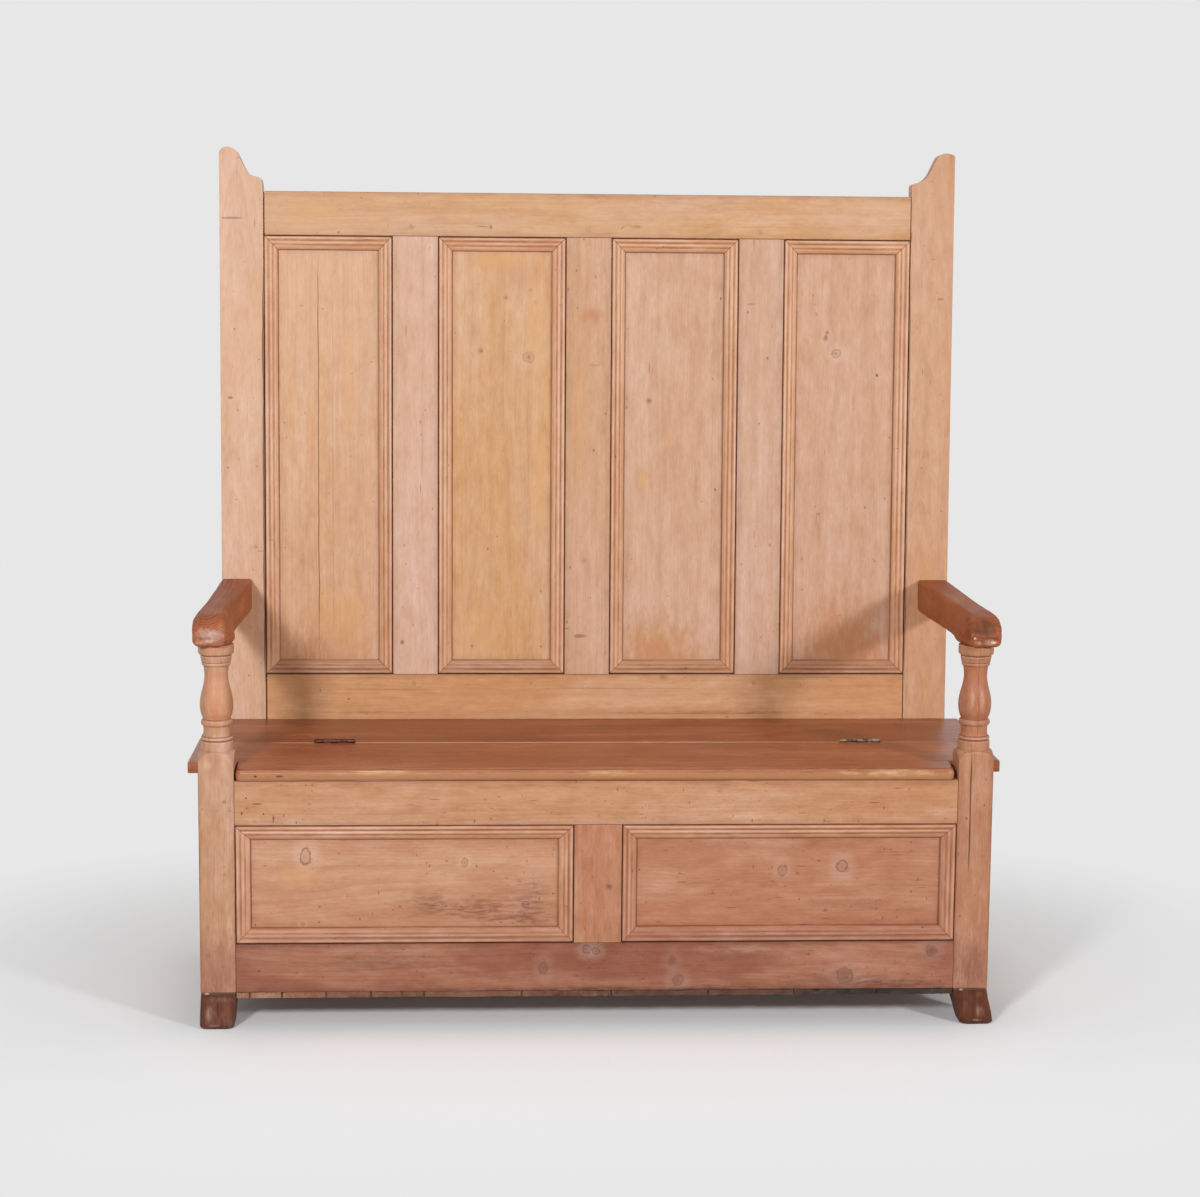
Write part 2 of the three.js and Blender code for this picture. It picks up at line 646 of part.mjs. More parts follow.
// Butt hinges: the leaf on one side of the joint, with every other knuckle
const knuckleLength = hingeLength / hingeKnuckles;
const hingeKnuckle = (hingeX, i) => hingeX - hingeLength / 2 + (i + 0.5) * knuckleLength;
const leafY = (towards) => [
  jointY + towards * seatJoint / 2,
  jointY + towards * (seatJoint / 2 + hingeLeafThickness),
];
const leafBox = (hingeX, towards) => box(
  [hingeX - hingeLength / 2, hingeX + hingeLength / 2],
  leafY(towards),
  [pinHeight - hingeLeafHeight, pinHeight - hingeKnuckleRadius - hingeRoom],
);
const hingeLeaf = (hingeX, towards, first) => {
  const parts = [block(leafBox(hingeX, towards))];
  for (let i = first; i < hingeKnuckles; i += 2) {
    const x = hingeKnuckle(hingeX, i);
    const half = knuckleLength / 2 - fit;
    parts.push(
      block(box(
        [x - half, x + half],
        leafY(towards),
        [pinHeight - hingeKnuckleRadius - overrun, pinHeight],
      )),
      rod(hingeKnuckleRadius, 2 * half, 'x', [x, jointY, pinHeight], hingeSides),
    );
  }
  return cut(
    join(...parts),
    rod(hingePinRadius + fit, hingeLength + overrun, 'x', [hingeX, jointY, pinHeight], hingeSides),
  );
};

// What the boards give up for the hinges
const hingeRecess = (hingeX, towards) => {
  const leaf = leafBox(hingeX, towards);
  const slot = box(
    leaf.x,
    [jointY, leafY(towards)[1]],
    [leaf.z[0], pinHeight + overrun],
  );
  return [
    block(grow(slot, fit)),
    rod(
      hingeKnuckleRadius + hingeRoom,
      hingeLength + 2 * (hingePinHeadLength + hingeRoom),
      'x',
      [hingeX, jointY, pinHeight],
      hingeSides,
    ),
  ];
};

for (const [name, x] of hinges) {
  const look = name === 'left' ? hingeIron : hingeBrass;
  addPiece(`hinge_seat_leaf_${name}`, hingeLeaf(x, 1, 0), look);
  addPiece(`hinge_lid_leaf_${name}`, hingeLeaf(x, -1, 1), look);
  const heads = [-1, 1].map((end) => rod(
    hingePinHeadRadius,
    hingePinHeadLength,
    'x',
    [x + end * (hingeLength + hingePinHeadLength) / 2, jointY, pinHeight],
    hingeSides,
  ));
  const shaft = rod(
    hingePinRadius,
    hingeLength + hingePinHeadLength,
    'x',
    [x, jointY, pinHeight],
    hingeSides,
  );
  addPiece(`hinge_pin_${name}`, join(shaft, ...heads), look);
}

// Seat: the fixed board behind, and the lid in front, notched round the legs
const seatEnd = halfWidth + seatOverhang;
const seatBoard = roundedBoard([
  [-seatEnd, jointY + seatJoint / 2], [seatEnd, jointY + seatJoint / 2],
  [seatEnd, seatDepth - fit], [-seatEnd, seatDepth - fit],
], seatUnderside, seatThickness);
const behindSeat = leaning(boxGeometry(grow(box([-stileInner, stileInner], railY, seatRailZ), fit)));
addPiece(
  'seat_rear_board',
  cut(seatBoard, behindSeat, ...hinges.flatMap(([, x]) => hingeRecess(x, 1))),
  seatPine,
);

const notchY = legDepth + notchClearance;
const lidLeft = -legInner + lidGapLeft;
const lidRight = legInner - lidGapRight;
const lidBoard = roundedBoard([
  [-seatEnd, notchY], [lidLeft, notchY],
  [lidLeft, boardArris - nosing], [lidLeft + boardArris + nosing, -nosing],
  [lidRight - boardArris - nosing, -nosing], [lidRight, boardArris - nosing],
  [lidRight, notchY], [seatEnd, notchY],
  [seatEnd, jointY - seatJoint / 2], [-seatEnd, jointY - seatJoint / 2],
], seatUnderside, seatThickness);
addPiece('lid', cut(lidBoard, ...hinges.flatMap(([, x]) => hingeRecess(x, -1))), seatPine);

// The origin is on the floor under the middle of the bench's box
bench.updateMatrixWorld(true);
const middle = new THREE.Box3().setFromObject(bench, true).getCenter(new THREE.Vector3());
bench.position.set(-middle.x, -middle.y, 0);

export default bench;
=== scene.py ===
import json
import math
import random

import bmesh
import bpy
from mathutils import Matrix, Vector, noise


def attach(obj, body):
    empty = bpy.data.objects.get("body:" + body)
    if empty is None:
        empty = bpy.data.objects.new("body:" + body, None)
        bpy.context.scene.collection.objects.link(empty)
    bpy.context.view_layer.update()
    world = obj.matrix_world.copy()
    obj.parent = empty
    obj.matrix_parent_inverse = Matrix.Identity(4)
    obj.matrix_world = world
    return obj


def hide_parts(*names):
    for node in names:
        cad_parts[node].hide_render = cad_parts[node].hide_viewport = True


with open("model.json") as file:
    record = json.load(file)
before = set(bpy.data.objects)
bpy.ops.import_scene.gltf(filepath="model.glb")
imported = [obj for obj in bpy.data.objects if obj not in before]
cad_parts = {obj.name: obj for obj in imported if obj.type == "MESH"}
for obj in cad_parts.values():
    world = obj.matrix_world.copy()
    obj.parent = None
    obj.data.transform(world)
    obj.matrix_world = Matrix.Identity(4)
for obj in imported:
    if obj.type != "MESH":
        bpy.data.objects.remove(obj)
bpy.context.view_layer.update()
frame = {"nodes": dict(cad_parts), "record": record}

cad = frame["nodes"]
bodyOf = {node: body for body, nodes in frame["record"]["behaviour"]["bodies"].items() for node in nodes}


def placed(name, data):
    made = bpy.data.objects.new(name, data)
    bpy.context.scene.collection.objects.link(made)
    return made


# The camera stands where the photograph was taken from
cameraValues = {
    "place": (-0.2484, -5.0292, 1.4793),
    "down": math.radians(7.964),
    "right": math.radians(2.993),
    "roll": math.radians(-0.503),
    "lens": 78.15,
    "sensor": 36,
    "sight": 200,
}


def makeCamera(values):
    down, right, roll = values["down"], values["right"], values["roll"]
    forward = Vector((math.sin(right) * math.cos(down), math.cos(right) * math.cos(down), -math.sin(down)))
    across = Vector((math.cos(right), -math.sin(right), 0))
    up = across.cross(forward)
    imageRight = across * math.cos(roll) - up * math.sin(roll)
    imageUp = up * math.cos(roll) + across * math.sin(roll)
    turn = Matrix((imageRight, imageUp, -forward)).transposed().to_4x4()
    data = bpy.data.cameras.new("camera")
    data.lens = values["lens"]
    data.sensor_width = values["sensor"]
    data.clip_end = values["sight"]
    camera = placed("camera", data)
    camera.matrix_world = Matrix.Translation(values["place"]) @ turn
    bpy.context.scene.camera = camera


makeCamera(cameraValues)
print("camera ready")


# Small helpers for node trees
class Wire:
    # a node's output, so that the sums of a tree can be written as sums
    def __init__(self, socket):
        self.socket = socket

    def __add__(self, other):
        return calc("ADD", self, other)

    def __radd__(self, other):
        return calc("ADD", other, self)

    def __sub__(self, other):
        return calc("SUBTRACT", self, other)

    def __rsub__(self, other):
        return calc("SUBTRACT", other, self)

    def __mul__(self, other):
        return calc("MULTIPLY", self, other)

    def __truediv__(self, other):
        return calc("DIVIDE", self, other)

    def __pow__(self, power):
        return calc("POWER", self, power)


def socketOf(value):
    return value.socket if isinstance(value, Wire) else value


def addNode(tree, kind, links=None, **settings):
    made = tree.nodes.new(kind)
    for key, value in settings.items():
        setattr(made, key, value)
    for key, value in (links or {}).items():
        socket = socketOf(value)
        if isinstance(socket, bpy.types.NodeSocket):
            tree.links.new(socket, made.inputs[key])
        else:
            made.inputs[key].default_value = value
    return made


def feed(kind, links, output=0, **settings):
    # a new node in the tree of the first input that comes from another node
    sockets = [socketOf(value) for value in links.values()]
    tree = next(socket.id_data for socket in sockets if isinstance(socket, bpy.types.NodeSocket))
    return Wire(addNode(tree, kind, links, **settings).outputs[output])


def calc(operation, *values):
    return feed("ShaderNodeMath", dict(enumerate(values)), operation=operation)


def clamped(wire):
    wire.socket.node.use_clamp = True
    return wire


def vectorCalc(operation, *values):
    output = "Value" if operation == "LENGTH" else "Vector"
    return feed("ShaderNodeVectorMath", dict(enumerate(values)), output, operation=operation)


def remap(value, low, high, start=0.0, end=1.0, smooth=True):
    kind = "SMOOTHSTEP" if smooth else "LINEAR"
    return feed("ShaderNodeMapRange", {0: value, 1: low, 2: high, 3: start, 4: end}, interpolation_type=kind)


def separate(vector):
    made = feed("ShaderNodeSeparateXYZ", {0: vector}).socket.node
    return [Wire(socket) for socket in made.outputs]


def combine(*values):
    return feed("ShaderNodeCombineXYZ", dict(enumerate(values)))


def noiseValue(vector, scales, detail=2.0, roughness=0.5):
    links = {"Vector": vectorCalc("MULTIPLY", vector, scales), "Scale": 1.0, "Detail": detail,
             "Roughness": roughness}
    return feed("ShaderNodeTexNoise", links, "Fac")


def mixColour(amount, first, second, blend="MIX"):
    return feed("ShaderNodeMix", {0: amount, 6: first, 7: second}, 2, data_type="RGBA", blend_type=blend)


def ramp(value, stops):
    made = feed("ShaderNodeValToRGB", {0: value})
    elements = made.socket.node.color_ramp.elements
    for _ in stops[2:]:
        elements.new(0.5)
    for element, (place, shade) in zip(elements, stops):
        element.position = place
        element.color = (shade, shade, shade, 1)
    return made


def colour(red, green, blue):
    # from the eye's 0 to 255 values to the light's own
    parts = [part / 255 for part in (red, green, blue)]
    return tuple(part / 12.92 if part <= 0.04045 else ((part + 0.055) / 1.055) ** 2.4
                 for part in parts) + (1,)


socketKinds = {
    "vector": "NodeSocketVector", "value": "NodeSocketFloat", "colour": "NodeSocketColor",
    "whole": "NodeSocketInt", "mesh": "NodeSocketGeometry", "material": "NodeSocketMaterial",
}


def newTree(name, kind, inputs, outputs):
    tree = bpy.data.node_groups.new(name, kind)
    for sockets, way in ((inputs, "INPUT"), (outputs, "OUTPUT")):
        for label, socket in sockets.items():
            tree.interface.new_socket(label, in_out=way, socket_type=socketKinds[socket])
    return tree, {socket.name: Wire(socket) for socket in tree.nodes.new("NodeGroupInput").outputs}


def withNodes(made):
    # a new material or world, with its tree emptied
    made.use_nodes = True
    made.node_tree.nodes.clear()
    return made, made.node_tree


def endTree(tree, **results):
    out = tree.nodes.new("NodeGroupOutput").inputs
    for label, value in results.items():
        tree.links.new(socketOf(value), out[label])
    return tree


pineValues = {
    # what worn arrises, proud shapes and the wood round a knot turn towards
    "worn": (1, 0.86, 0.7, 1), "proud": (1, 0.86, 0.74, 1), "bloom": (1, 0.8, 0.7, 1),
    # dents and specks of dirt, thin scratches with the grain and short marks across it:
    # cells in a metre each way, a mark's size in a cell and the share of the cells that have one
    "marks": [((80, 130, 130), 0.28, 0.05), ((22, 240, 240), 0.28, 0.02), ((170, 80, 80), 0.26, 0.025)],
}


# Pine, read along a board: x runs with the grain, y across the face and z through the board
def makePineGroup():
    tree, given = newTree("pine", "ShaderNodeTree", {
        "Place": "vector", "Bent place": "vector", "Half size": "vector", "Seed": "value",
        "Ring width": "value", "Heart": "vector", "Contrast": "value", "Light": "colour", "Dark": "colour",
        "Patch": "colour", "Patches": "value", "Blush": "colour", "Blushes": "value", "Grime": "colour",
        "Edge grime": "value", "Edge line": "value", "Worn edge": "value", "Flecks": "value",
        "Shape": "value", "Mottling": "value", "One face": "value", "Roughness": "value",
    }, {"Color": "colour", "Roughness": "value", "Height": "value"})
    seed = given["Seed"]
    shift = vectorCalc("MULTIPLY", combine(seed, seed, seed), (3.7, 1.9, 2.3))
    place = vectorCalc("ADD", given["Place"], shift)
    bent = vectorCalc("ADD", given["Bent place"], shift)

    # growth rings, cut lengthways some way from the tree's heart
    wander = noiseValue(place, (1.3, 6.0, 6.0))
    wobble = noiseValue(bent, (4.0, 40.0, 40.0))
    parts = separate(vectorCalc("SUBTRACT", given["Bent place"], given["Heart"]))
    drift = (wander - 0.5) * 0.075
    sideways = parts[1] + drift
    squares = sideways ** 2.0 + parts[2] ** 2.0
    radius = calc("SQRT", squares) + parts[0] * 0.006
    ripple = (wobble - 0.5) * 0.003
    rings = (radius + ripple) / given["Ring width"]
    late = ramp(calc("FRACT", rings), [(0, 0.1), (0.4, 0.12), (0.8, 0.6), (0.93, 1), (1, 0.1)])
    strength = noiseValue(combine(calc("FLOOR", rings), seed, 0.0), (0.71, 0.71, 0.71), 0.0)
    late = late * remap(strength, 0.25, 0.7, 0.3, 1.0)

    fibre = noiseValue(bent, (9.0, 480.0, 480.0), 3.0, 0.6)
    streak = noiseValue(bent, (1.6, 48.0, 48.0), 4.0, 0.62)
    cloud = noiseValue(place, (1.7, 7.0, 7.0), 3.0, 0.55)
    mottle = noiseValue(place, (20.0, 55.0, 55.0), 3.0, 0.6)
    tide = noiseValue(vectorCalc("ADD", place, (5.3, 2.1, 7.7)), (2.6, 11.0, 11.0), 4.0, 0.6)

    soft = cloud * 0.62 + streak * 0.38
    patches = clamped(remap(soft, 0.4, 0.62) * given["Patches"])
    body = mixColour(patches, given["Light"], given["Patch"])
    blushes = clamped(remap(tide, 0.44, 0.66) * given["Blushes"])
    body = mixColour(blushes, body, given["Blush"])
    body = mixColour(clamped(late * given["Contrast"]), body, given["Dark"])
    shade = remap(fibre, 0.3, 0.7, 0.95, 1.04, smooth=False)
    shade = shade * remap(streak, 0.3, 0.7, 0.91, 1.07, smooth=False)
    shade = shade * remap(mottle, 0.3, 0.72, 0.9, 1.075, smooth=False)
    grit = noiseValue(place, (70.0, 230.0, 230.0), 3.0, 0.6)
    shade = shade * remap(grit, 0.32, 0.68, 0.95, 1.04, smooth=False)
    # darker wood is also warmer
    powers = [given["Mottling"] * power for power in (0.55, 1.0, 1.5)]
    tint = combine(*[shade ** power for power in powers])
    body = mixColour(1.0, body, tint, "MULTIPLY")

    # the second smallest distance to a face is the distance to the nearest arris
    away = vectorCalc("SUBTRACT", given["Half size"], vectorCalc("ABSOLUTE", given["Place"]))
    first, second, third = separate(away)
    edge = calc("MINIMUM", calc("MAXIMUM", first, second), third)
    edge = calc("MAXIMUM", calc("MINIMUM", first, second), edge)
    rough = mottle - 0.5
    ragged = edge + rough * 0.014
    # a framed panel is dirty only where its moulding meets its face
    faced = 1.0 - given["One face"] * calc("LESS_THAN", separate(given["Place"])[2], 0.0)
    grime = clamped(remap(ragged, 0.0, 0.016, 1.0, 0.0) * given["Edge grime"])
    grime = grime * faced
    body = mixColour(grime, body, given["Grime"])
    rub = edge + rough * 0.006
    worn = clamped(remap(rub, 0.001, 0.005, 1.0, 0.0) * given["Worn edge"])
    body = mixColour(worn, body, mixColour(0.3, given["Light"], pineValues["worn"]))
    line = edge + rough * 0.0016
    line = clamped(remap(line, 0.0006, 0.002, 1.0, 0.0) * given["Edge line"])
    line = line * faced
    body = mixColour(line, body, given["Grime"])

    # rubbed pale with a painted highlight where the shape stands out, and brown with dirt and painted shade
    # where it falls in
    proud = given["Shape"] + rough * 0.5
    wearAndHighlight = mixColour(0.25, given["Blush"], pineValues["proud"])
    body = mixColour(remap(proud, 0.6, 0.9, 0.0, 0.3), body, wearAndHighlight)
    body = mixColour(remap(proud, 0.44, 0.15, 0.0, 0.5), body, given["Grime"])

    # small marks: each cell of a loose grid has one, or has none
    marks = []
    for scales, size, share in pineValues["marks"]:
        links = {"Vector": vectorCalc("MULTIPLY", place, scales), "Scale": 1.0}
        cells = addNode(tree, "ShaderNodeTexVoronoi", links)
        chosen = separate(cells.outputs["Color"])
        picked = calc("LESS_THAN", chosen[0], given["Flecks"] * share)
        reach = (chosen[1] + 0.4) * size
        inside = remap(cells.outputs["Distance"], reach * 0.35, reach, 1.0, 0.0)
        depth = remap(chosen[2], 0.0, 1.0, 0.35, 1.0)
        marks.append(inside * picked * depth)
    speck = calc("MAXIMUM", calc("MAXIMUM", *marks[:2]), marks[2])
    body = mixColour(speck * 0.7, body, given["Grime"])

    gloss = given["Roughness"] + remap(mottle, 0.3, 0.7, -0.06, 0.08, smooth=False)
    height = fibre * 0.3 + late * 0.15
    height = height - speck * 0.5
    height = height + mottle * 0.7
    return endTree(tree, Color=body, Roughness=gloss, Height=height)


# The grain parts round a knot as water does round a post
def makeBendGroup():
    tree, given = newTree("grain round a knot", "ShaderNodeTree",
                          {"Place": "vector", "Bent place": "vector", "Knot": "vector", "Size": "value"},
                          {"Bent place": "vector"})
    flat = separate(vectorCalc("SUBTRACT", given["Place"], given["Knot"]))
    stretched = flat[0] / 1.8
    square = stretched ** 2.0 + flat[1] ** 2.0
    area = given["Size"] ** 2.0
    pull = area * -0.9 / (square + area * 0.4)
    push = combine(0.0, flat[1] * pull, 0.0)
    return endTree(tree, **{"Bent place": vectorCalc("ADD", given["Bent place"], push)})


# A knot: a dark core where Ring is low, a pale one with turns and an outline where it is high
def makeKnotGroup():
    tree, given = newTree("knot", "ShaderNodeTree", {
        "Color": "colour", "Place": "vector", "Knot": "vector", "Size": "value", "Strength": "value",
        "Ring": "value", "Tall": "value", "Dark": "colour", "Grime": "colour"}, {"Color": "colour"})
    flat = separate(vectorCalc("SUBTRACT", given["Place"], given["Knot"]))
    uneven = noiseValue(given["Place"], (90.0, 90.0, 90.0), 3.0) - 0.5
    across = flat[1] / given["Tall"]
    square = flat[0] ** 2.0 + across ** 2.0
    reach = calc("SQRT", square) / given["Size"]
    reach = reach + uneven * 1.3
    plain = 1.0 - given["Ring"] * 0.75
    bloom = mixColour(0.4, given["Color"], pineValues["bloom"])
    around = remap(reach, 1.0, 3.4, 0.34, 0.0) * given["Ring"]
    body = mixColour(around, given["Color"], bloom)
    dull = remap(reach, 0.8, 2.6, 0.28, 0.0) * plain
    body = mixColour(dull, body, given["Dark"])
    deep = mixColour(0.65, given["Dark"], given["Grime"])
    body = mixColour(remap(reach, 0.1, 1.1, 0.85, 0.0) * plain, body, deep)
    turns = remap(calc("SINE", reach * 11.0), -1.0, 1.0, 0.0, 0.25)
    turns = turns * remap(reach, 0.85, 1.0, 1.0, 0.0)
    body = mixColour(turns * given["Ring"], body, given["Dark"])
    rim = remap(calc("ABSOLUTE", reach - 0.95), 0.0, 0.26, 0.85, 0.0)
    body = mixColour(rim * given["Ring"], body, deep)
    return endTree(tree, Color=mixColour(given["Strength"], given["Color"], body))


# A stain, dent or hole with an uneven edge
def makeBlotGroup():
    tree, given = newTree("blot", "ShaderNodeTree", {
        "Color": "colour", "Place": "vector", "Middle": "vector", "Reach": "vector", "Soft": "value",
        "Broken": "value", "Shade": "colour", "Strength": "value"}, {"Color": "colour"})
    away = vectorCalc("DIVIDE", vectorCalc("SUBTRACT", given["Place"], given["Middle"]), given["Reach"])
    uneven = noiseValue(given["Place"], (30.0, 75.0, 75.0), 4.0, 0.65) - 0.5
    uneven = uneven * (given["Soft"] * 1.6)
    reach = vectorCalc("LENGTH", away) + uneven
    mask = remap(reach, 1.0 - given["Soft"], 1.0, 1.0, 0.0)
    grain = remap(noiseValue(given["Place"], (34.0, 190.0, 190.0), 4.0, 0.7), 0.4, 0.6)
    broken = 1.0 - given["Broken"] + grain * given["Broken"]
    mask = clamped(mask * broken * given["Strength"])
    return endTree(tree, Color=mixColour(mask, given["Color"], given["Shade"]))


# A split that runs with the grain between two ends
def makeSplitGroup():
    tree, given = newTree("split", "ShaderNodeTree", {
        "Color": "colour", "Place": "vector", "Middle": "vector", "Half length": "value", "Width": "value",
        "Shade": "colour", "Strength": "value"}, {"Color": "colour"})
    flat = separate(vectorCalc("SUBTRACT", given["Place"], given["Middle"]))
    wander = noiseValue(combine(flat[0], given["Width"], 0.0), (9.0, 1.0, 1.0), 3.0) - 0.5
    across = calc("ABSOLUTE", flat[1] + wander * 0.006)
    ends = calc("ABSOLUTE", flat[0]) / given["Half length"]
    width = given["Width"] * remap(ends, 0.6, 1.0, 1.0, 0.0)
    mask = remap(across, 0.0, width, 1.0, 0.0)
    mask = mask * remap(ends, 0.9, 1.0, 1.0, 0.0)
    mask = clamped(mask * given["Strength"])
    return endTree(tree, Color=mixColour(mask, given["Color"], given["Shade"]))


# Dark lines in the quirks and mitres of a moulding: dirt with painted shade in the quirks; Side is 1 where
# its outer edge is at high y
def makeQuirkGroup():
    tree, given = newTree("quirks", "ShaderNodeTree", {
        "Color": "colour", "Place": "vector", "Half size": "vector", "Side": "value", "Shade": "colour"},
        {"Color": "colour"})
    place, half = separate(given["Place"]), separate(given["Half size"])
    inward = half[1] - place[1] * given["Side"]
    uneven = noiseValue(given["Place"], (25.0, 90.0, 90.0), 3.0) - 0.5
    fading = remap(noiseValue(given["Place"], (7.0, 30.0, 30.0), 3.0), 0.35, 0.6, 0.45, 1.0)
    body = given["Color"]
    for at, width, strength in mouldingValues["lines"]:
        near = calc("ABSOLUTE", inward - at)
        near = near + uneven * 0.0012
        mask = remap(near, 0.0, width, strength, 0.0) * fading
        body = mixColour(mask, body, given["Shade"])
    toEnd = half[0] - calc("ABSOLUTE", place[0])
    mitre = calc("ABSOLUTE", toEnd - inward)
    body = mixColour(remap(mitre, 0.0002, 0.0014, 0.6, 0.0), body, given["Shade"])
    return endTree(tree, Color=body)


mouldingValues = {
    "width": 27, "height": 15.5, "mitreGap": 0.25, "sunk": 0.3, "parts": 48, "wear": 0.35, "seedStep": 0.37,
    # the section, in shares of the width and of the height: a bead, a flatter one and a sloping band
    "section": [
        (0, 0.7), (0.03, 0.88), (0.08, 0.97), (0.14, 1), (0.2, 0.97), (0.25, 0.9), (0.3, 0.81), (0.35, 0.78),
        (0.41, 0.82), (0.47, 0.85), (0.53, 0.83), (0.59, 0.75), (0.64, 0.65), (0.69, 0.6), (0.75, 0.57),
        (0.83, 0.51), (0.9, 0.42), (0.96, 0.33), (1, 0.26),
    ],
    # the chest's mouldings are darker than the back's
    "frontLooks": {"light": (202, 148, 116), "dark": (170, 112, 82), "patch": (184, 126, 94),
                   "mottling": 1.5},
    # strips that are darker than the rest; on the back's bottom strips this is partly painted shade
    "tones": {
        "front_moulding_left_bottom": (0.85, 0.81, 0.83), "front_moulding_right_bottom": (0.68, 0.56, 0.56),
        "front_moulding_right_left": (0.9, 0.84, 0.82), "front_moulding_right_right": (0.86, 0.78, 0.76),
        **{f"back_moulding_{number}_bottom": (0.72, 0.65, 0.63) for number in range(1, 5)},
    },
    # dark lines of dirt and painted shade: metres in from the outer edge, half width and strength
    "lines": [(0.0, 0.0026, 0.6), (0.009, 0.003, 0.24), (0.0182, 0.003, 0.26), (0.0268, 0.0018, 0.8)],
}

pineGroup = makePineGroup()
bendGroup = makeBendGroup()
knotGroup = makeKnotGroup()
blotGroup = makeBlotGroup()
splitGroup = makeSplitGroup()
quirkGroup = makeQuirkGroup()

# What a board looks like where neither its finish nor its own values say more
commonLooks = {
    "blushes": 0.5, "edgeGrime": 0.0, "edgeLine": 0.0, "wornEdge": 0.0, "mottling": 1.0, "flecks": 1.0,
    "specular": 0.4, "inset": 0, "tone": (1, 1, 1), "heart": (0, 0.01, 0.07), "shaped": False, "side": 0,
    "knots": (), "blots": (), "splits": (),
}

# Finishes, by the record's slots, with colours in the eye's 0 to 255
finishes = {
    "pale_pine": {
        "light": (222, 178, 148), "dark": (200, 148, 112), "patch": (214, 162, 120), "blush": (226, 188, 166),
        "grime": (112, 64, 46), "patches": 0.6, "contrast": 0.35, "mottling": 1.2, "edgeGrime": 0.16,
        "edgeLine": 0.22, "flecks": 0.8, "specular": 0.32, "roughness": 0.5, "ringWidth": 0.0046,
    },
    "panel_pine": {
        "light": (220, 176, 144), "dark": (198, 146, 106), "patch": (212, 160, 112), "blush": (224, 184, 160),
        "grime": (116, 66, 46), "patches": 0.7, "contrast": 0.35, "mottling": 1.25, "edgeGrime": 0.12,
        "edgeLine": 0.5, "flecks": 0.6, "inset": 36.5, "roughness": 0.4, "ringWidth": 0.0052,
    },
    "moulding_pine": {
        "light": (217, 168, 131), "dark": (180, 120, 85), "patch": (204, 145, 106), "blush": (226, 180, 149),
        "grime": (92, 50, 34), "patches": 0.6, "contrast": 0.4, "mottling": 1.3, "flecks": 0.5,
        "roughness": 0.42, "ringWidth": 0.0034,
    },
    "seat_pine": {
        "light": (190, 128, 92), "dark": (150, 92, 62), "patch": (164, 100, 66), "blush": (204, 142, 108),
        "grime": (78, 42, 30), "patches": 0.85, "blushes": 0.45, "contrast": 0.45, "mottling": 3.4,
        "edgeGrime": 0.2, "wornEdge": 0.5, "roughness": 0.36, "ringWidth": 0.0050,
    },
    "arm_wood": {
        "blush": (168, 124, 106), "grime": (58, 32, 24), "patches": 0.6, "blushes": 0.4, "mottling": 1.7,
        "flecks": 1.6,
        "specular": 0.25, "roughness": 0.5,
    },
    "foot_wood": {
        "light": (146, 104, 88), "dark": (88, 56, 46), "patch": (106, 68, 56), "blush": (158, 120, 106),
        "grime": (50, 30, 24), "patches": 0.8, "contrast": 0.5, "mottling": 4.0, "edgeGrime": 0.3,
        "edgeLine": 0.3, "wornEdge": 0.15, "specular": 0.2, "roughness": 0.6, "ringWidth": 0.0040,
    },
    "inner_pine": {
        "light": (196, 150, 114), "dark": (160, 112, 78), "patch": (172, 126, 90), "blush": (204, 160, 128),
        "grime": (88, 58, 42), "patches": 0.7, "blushes": 0.4, "contrast": 0.5, "edgeGrime": 0.4,
        "edgeLine": 0.3, "roughness": 0.7, "ringWidth": 0.0050,
    },
}

# Stains, holes and painted shade, by what they are
shades = {
    "hole": (48, 28, 22), "dirt": (118, 78, 64), "grey": (120, 92, 84),
    "orange": (206, 134, 84), "honey": (212, 158, 100), "pale": (232, 200, 172),
    "brown": (132, 82, 58), "black": (34, 24, 22), "red": (150, 84, 62),
    "edge": (174, 122, 82), "plum": (128, 80, 60), "rose": (160, 106, 86), "straw": (222, 190, 138),
    "rust": (182, 106, 66), "quirk": (142, 80, 50), "ash": (192, 154, 140), "mud": (98, 58, 36),
    # gap is painted shadow, for open joints
    "tan": (184, 126, 84), "gap": (84, 40, 26),
}

# Soft stains of these shades are broken up by the grain
brokenShades = ("dirt", "grey", "brown", "hole", "black", "red", "pale", "ash", "straw", "plum")

# The back leans: its own x runs along the bench, y through the frame and z up the lean
benchMiddle = 290.1065  # the bench's own y at the frame's origin, in millimetres
backLean = math.radians(2.5)
seatLine = Vector((0, (508 - benchMiddle) / 1000, 0.496))
leanMatrix = Matrix.Translation(seatLine) @ Matrix.Rotation(-backLean, 4, "X")
level = Matrix.Identity(4)

# A board's own axes: with the grain, across its face and through it
grainAxes = {
    "across": ((1, 0, 0), (0, 0, 1), (0, -1, 0)),  # long way from side to side, face to the front
    "upright": ((0, 0, 1), (-1, 0, 0), (0, -1, 0)),  # long way up, face to the front
    "flat": ((1, 0, 0), (0, 1, 0), (0, 0, 1)),  # long way from side to side, face up
    "back": ((0, 1, 0), (-1, 0, 0), (0, 0, 1)),  # long way from front to back, face up
    "side": ((0, 1, 0), (0, 0, 1), (1, 0, 0)),  # long way from front to back, face to the side
}


def benchPoint(x, y, z):
    return Vector((x, y - benchMiddle, z)) / 1000


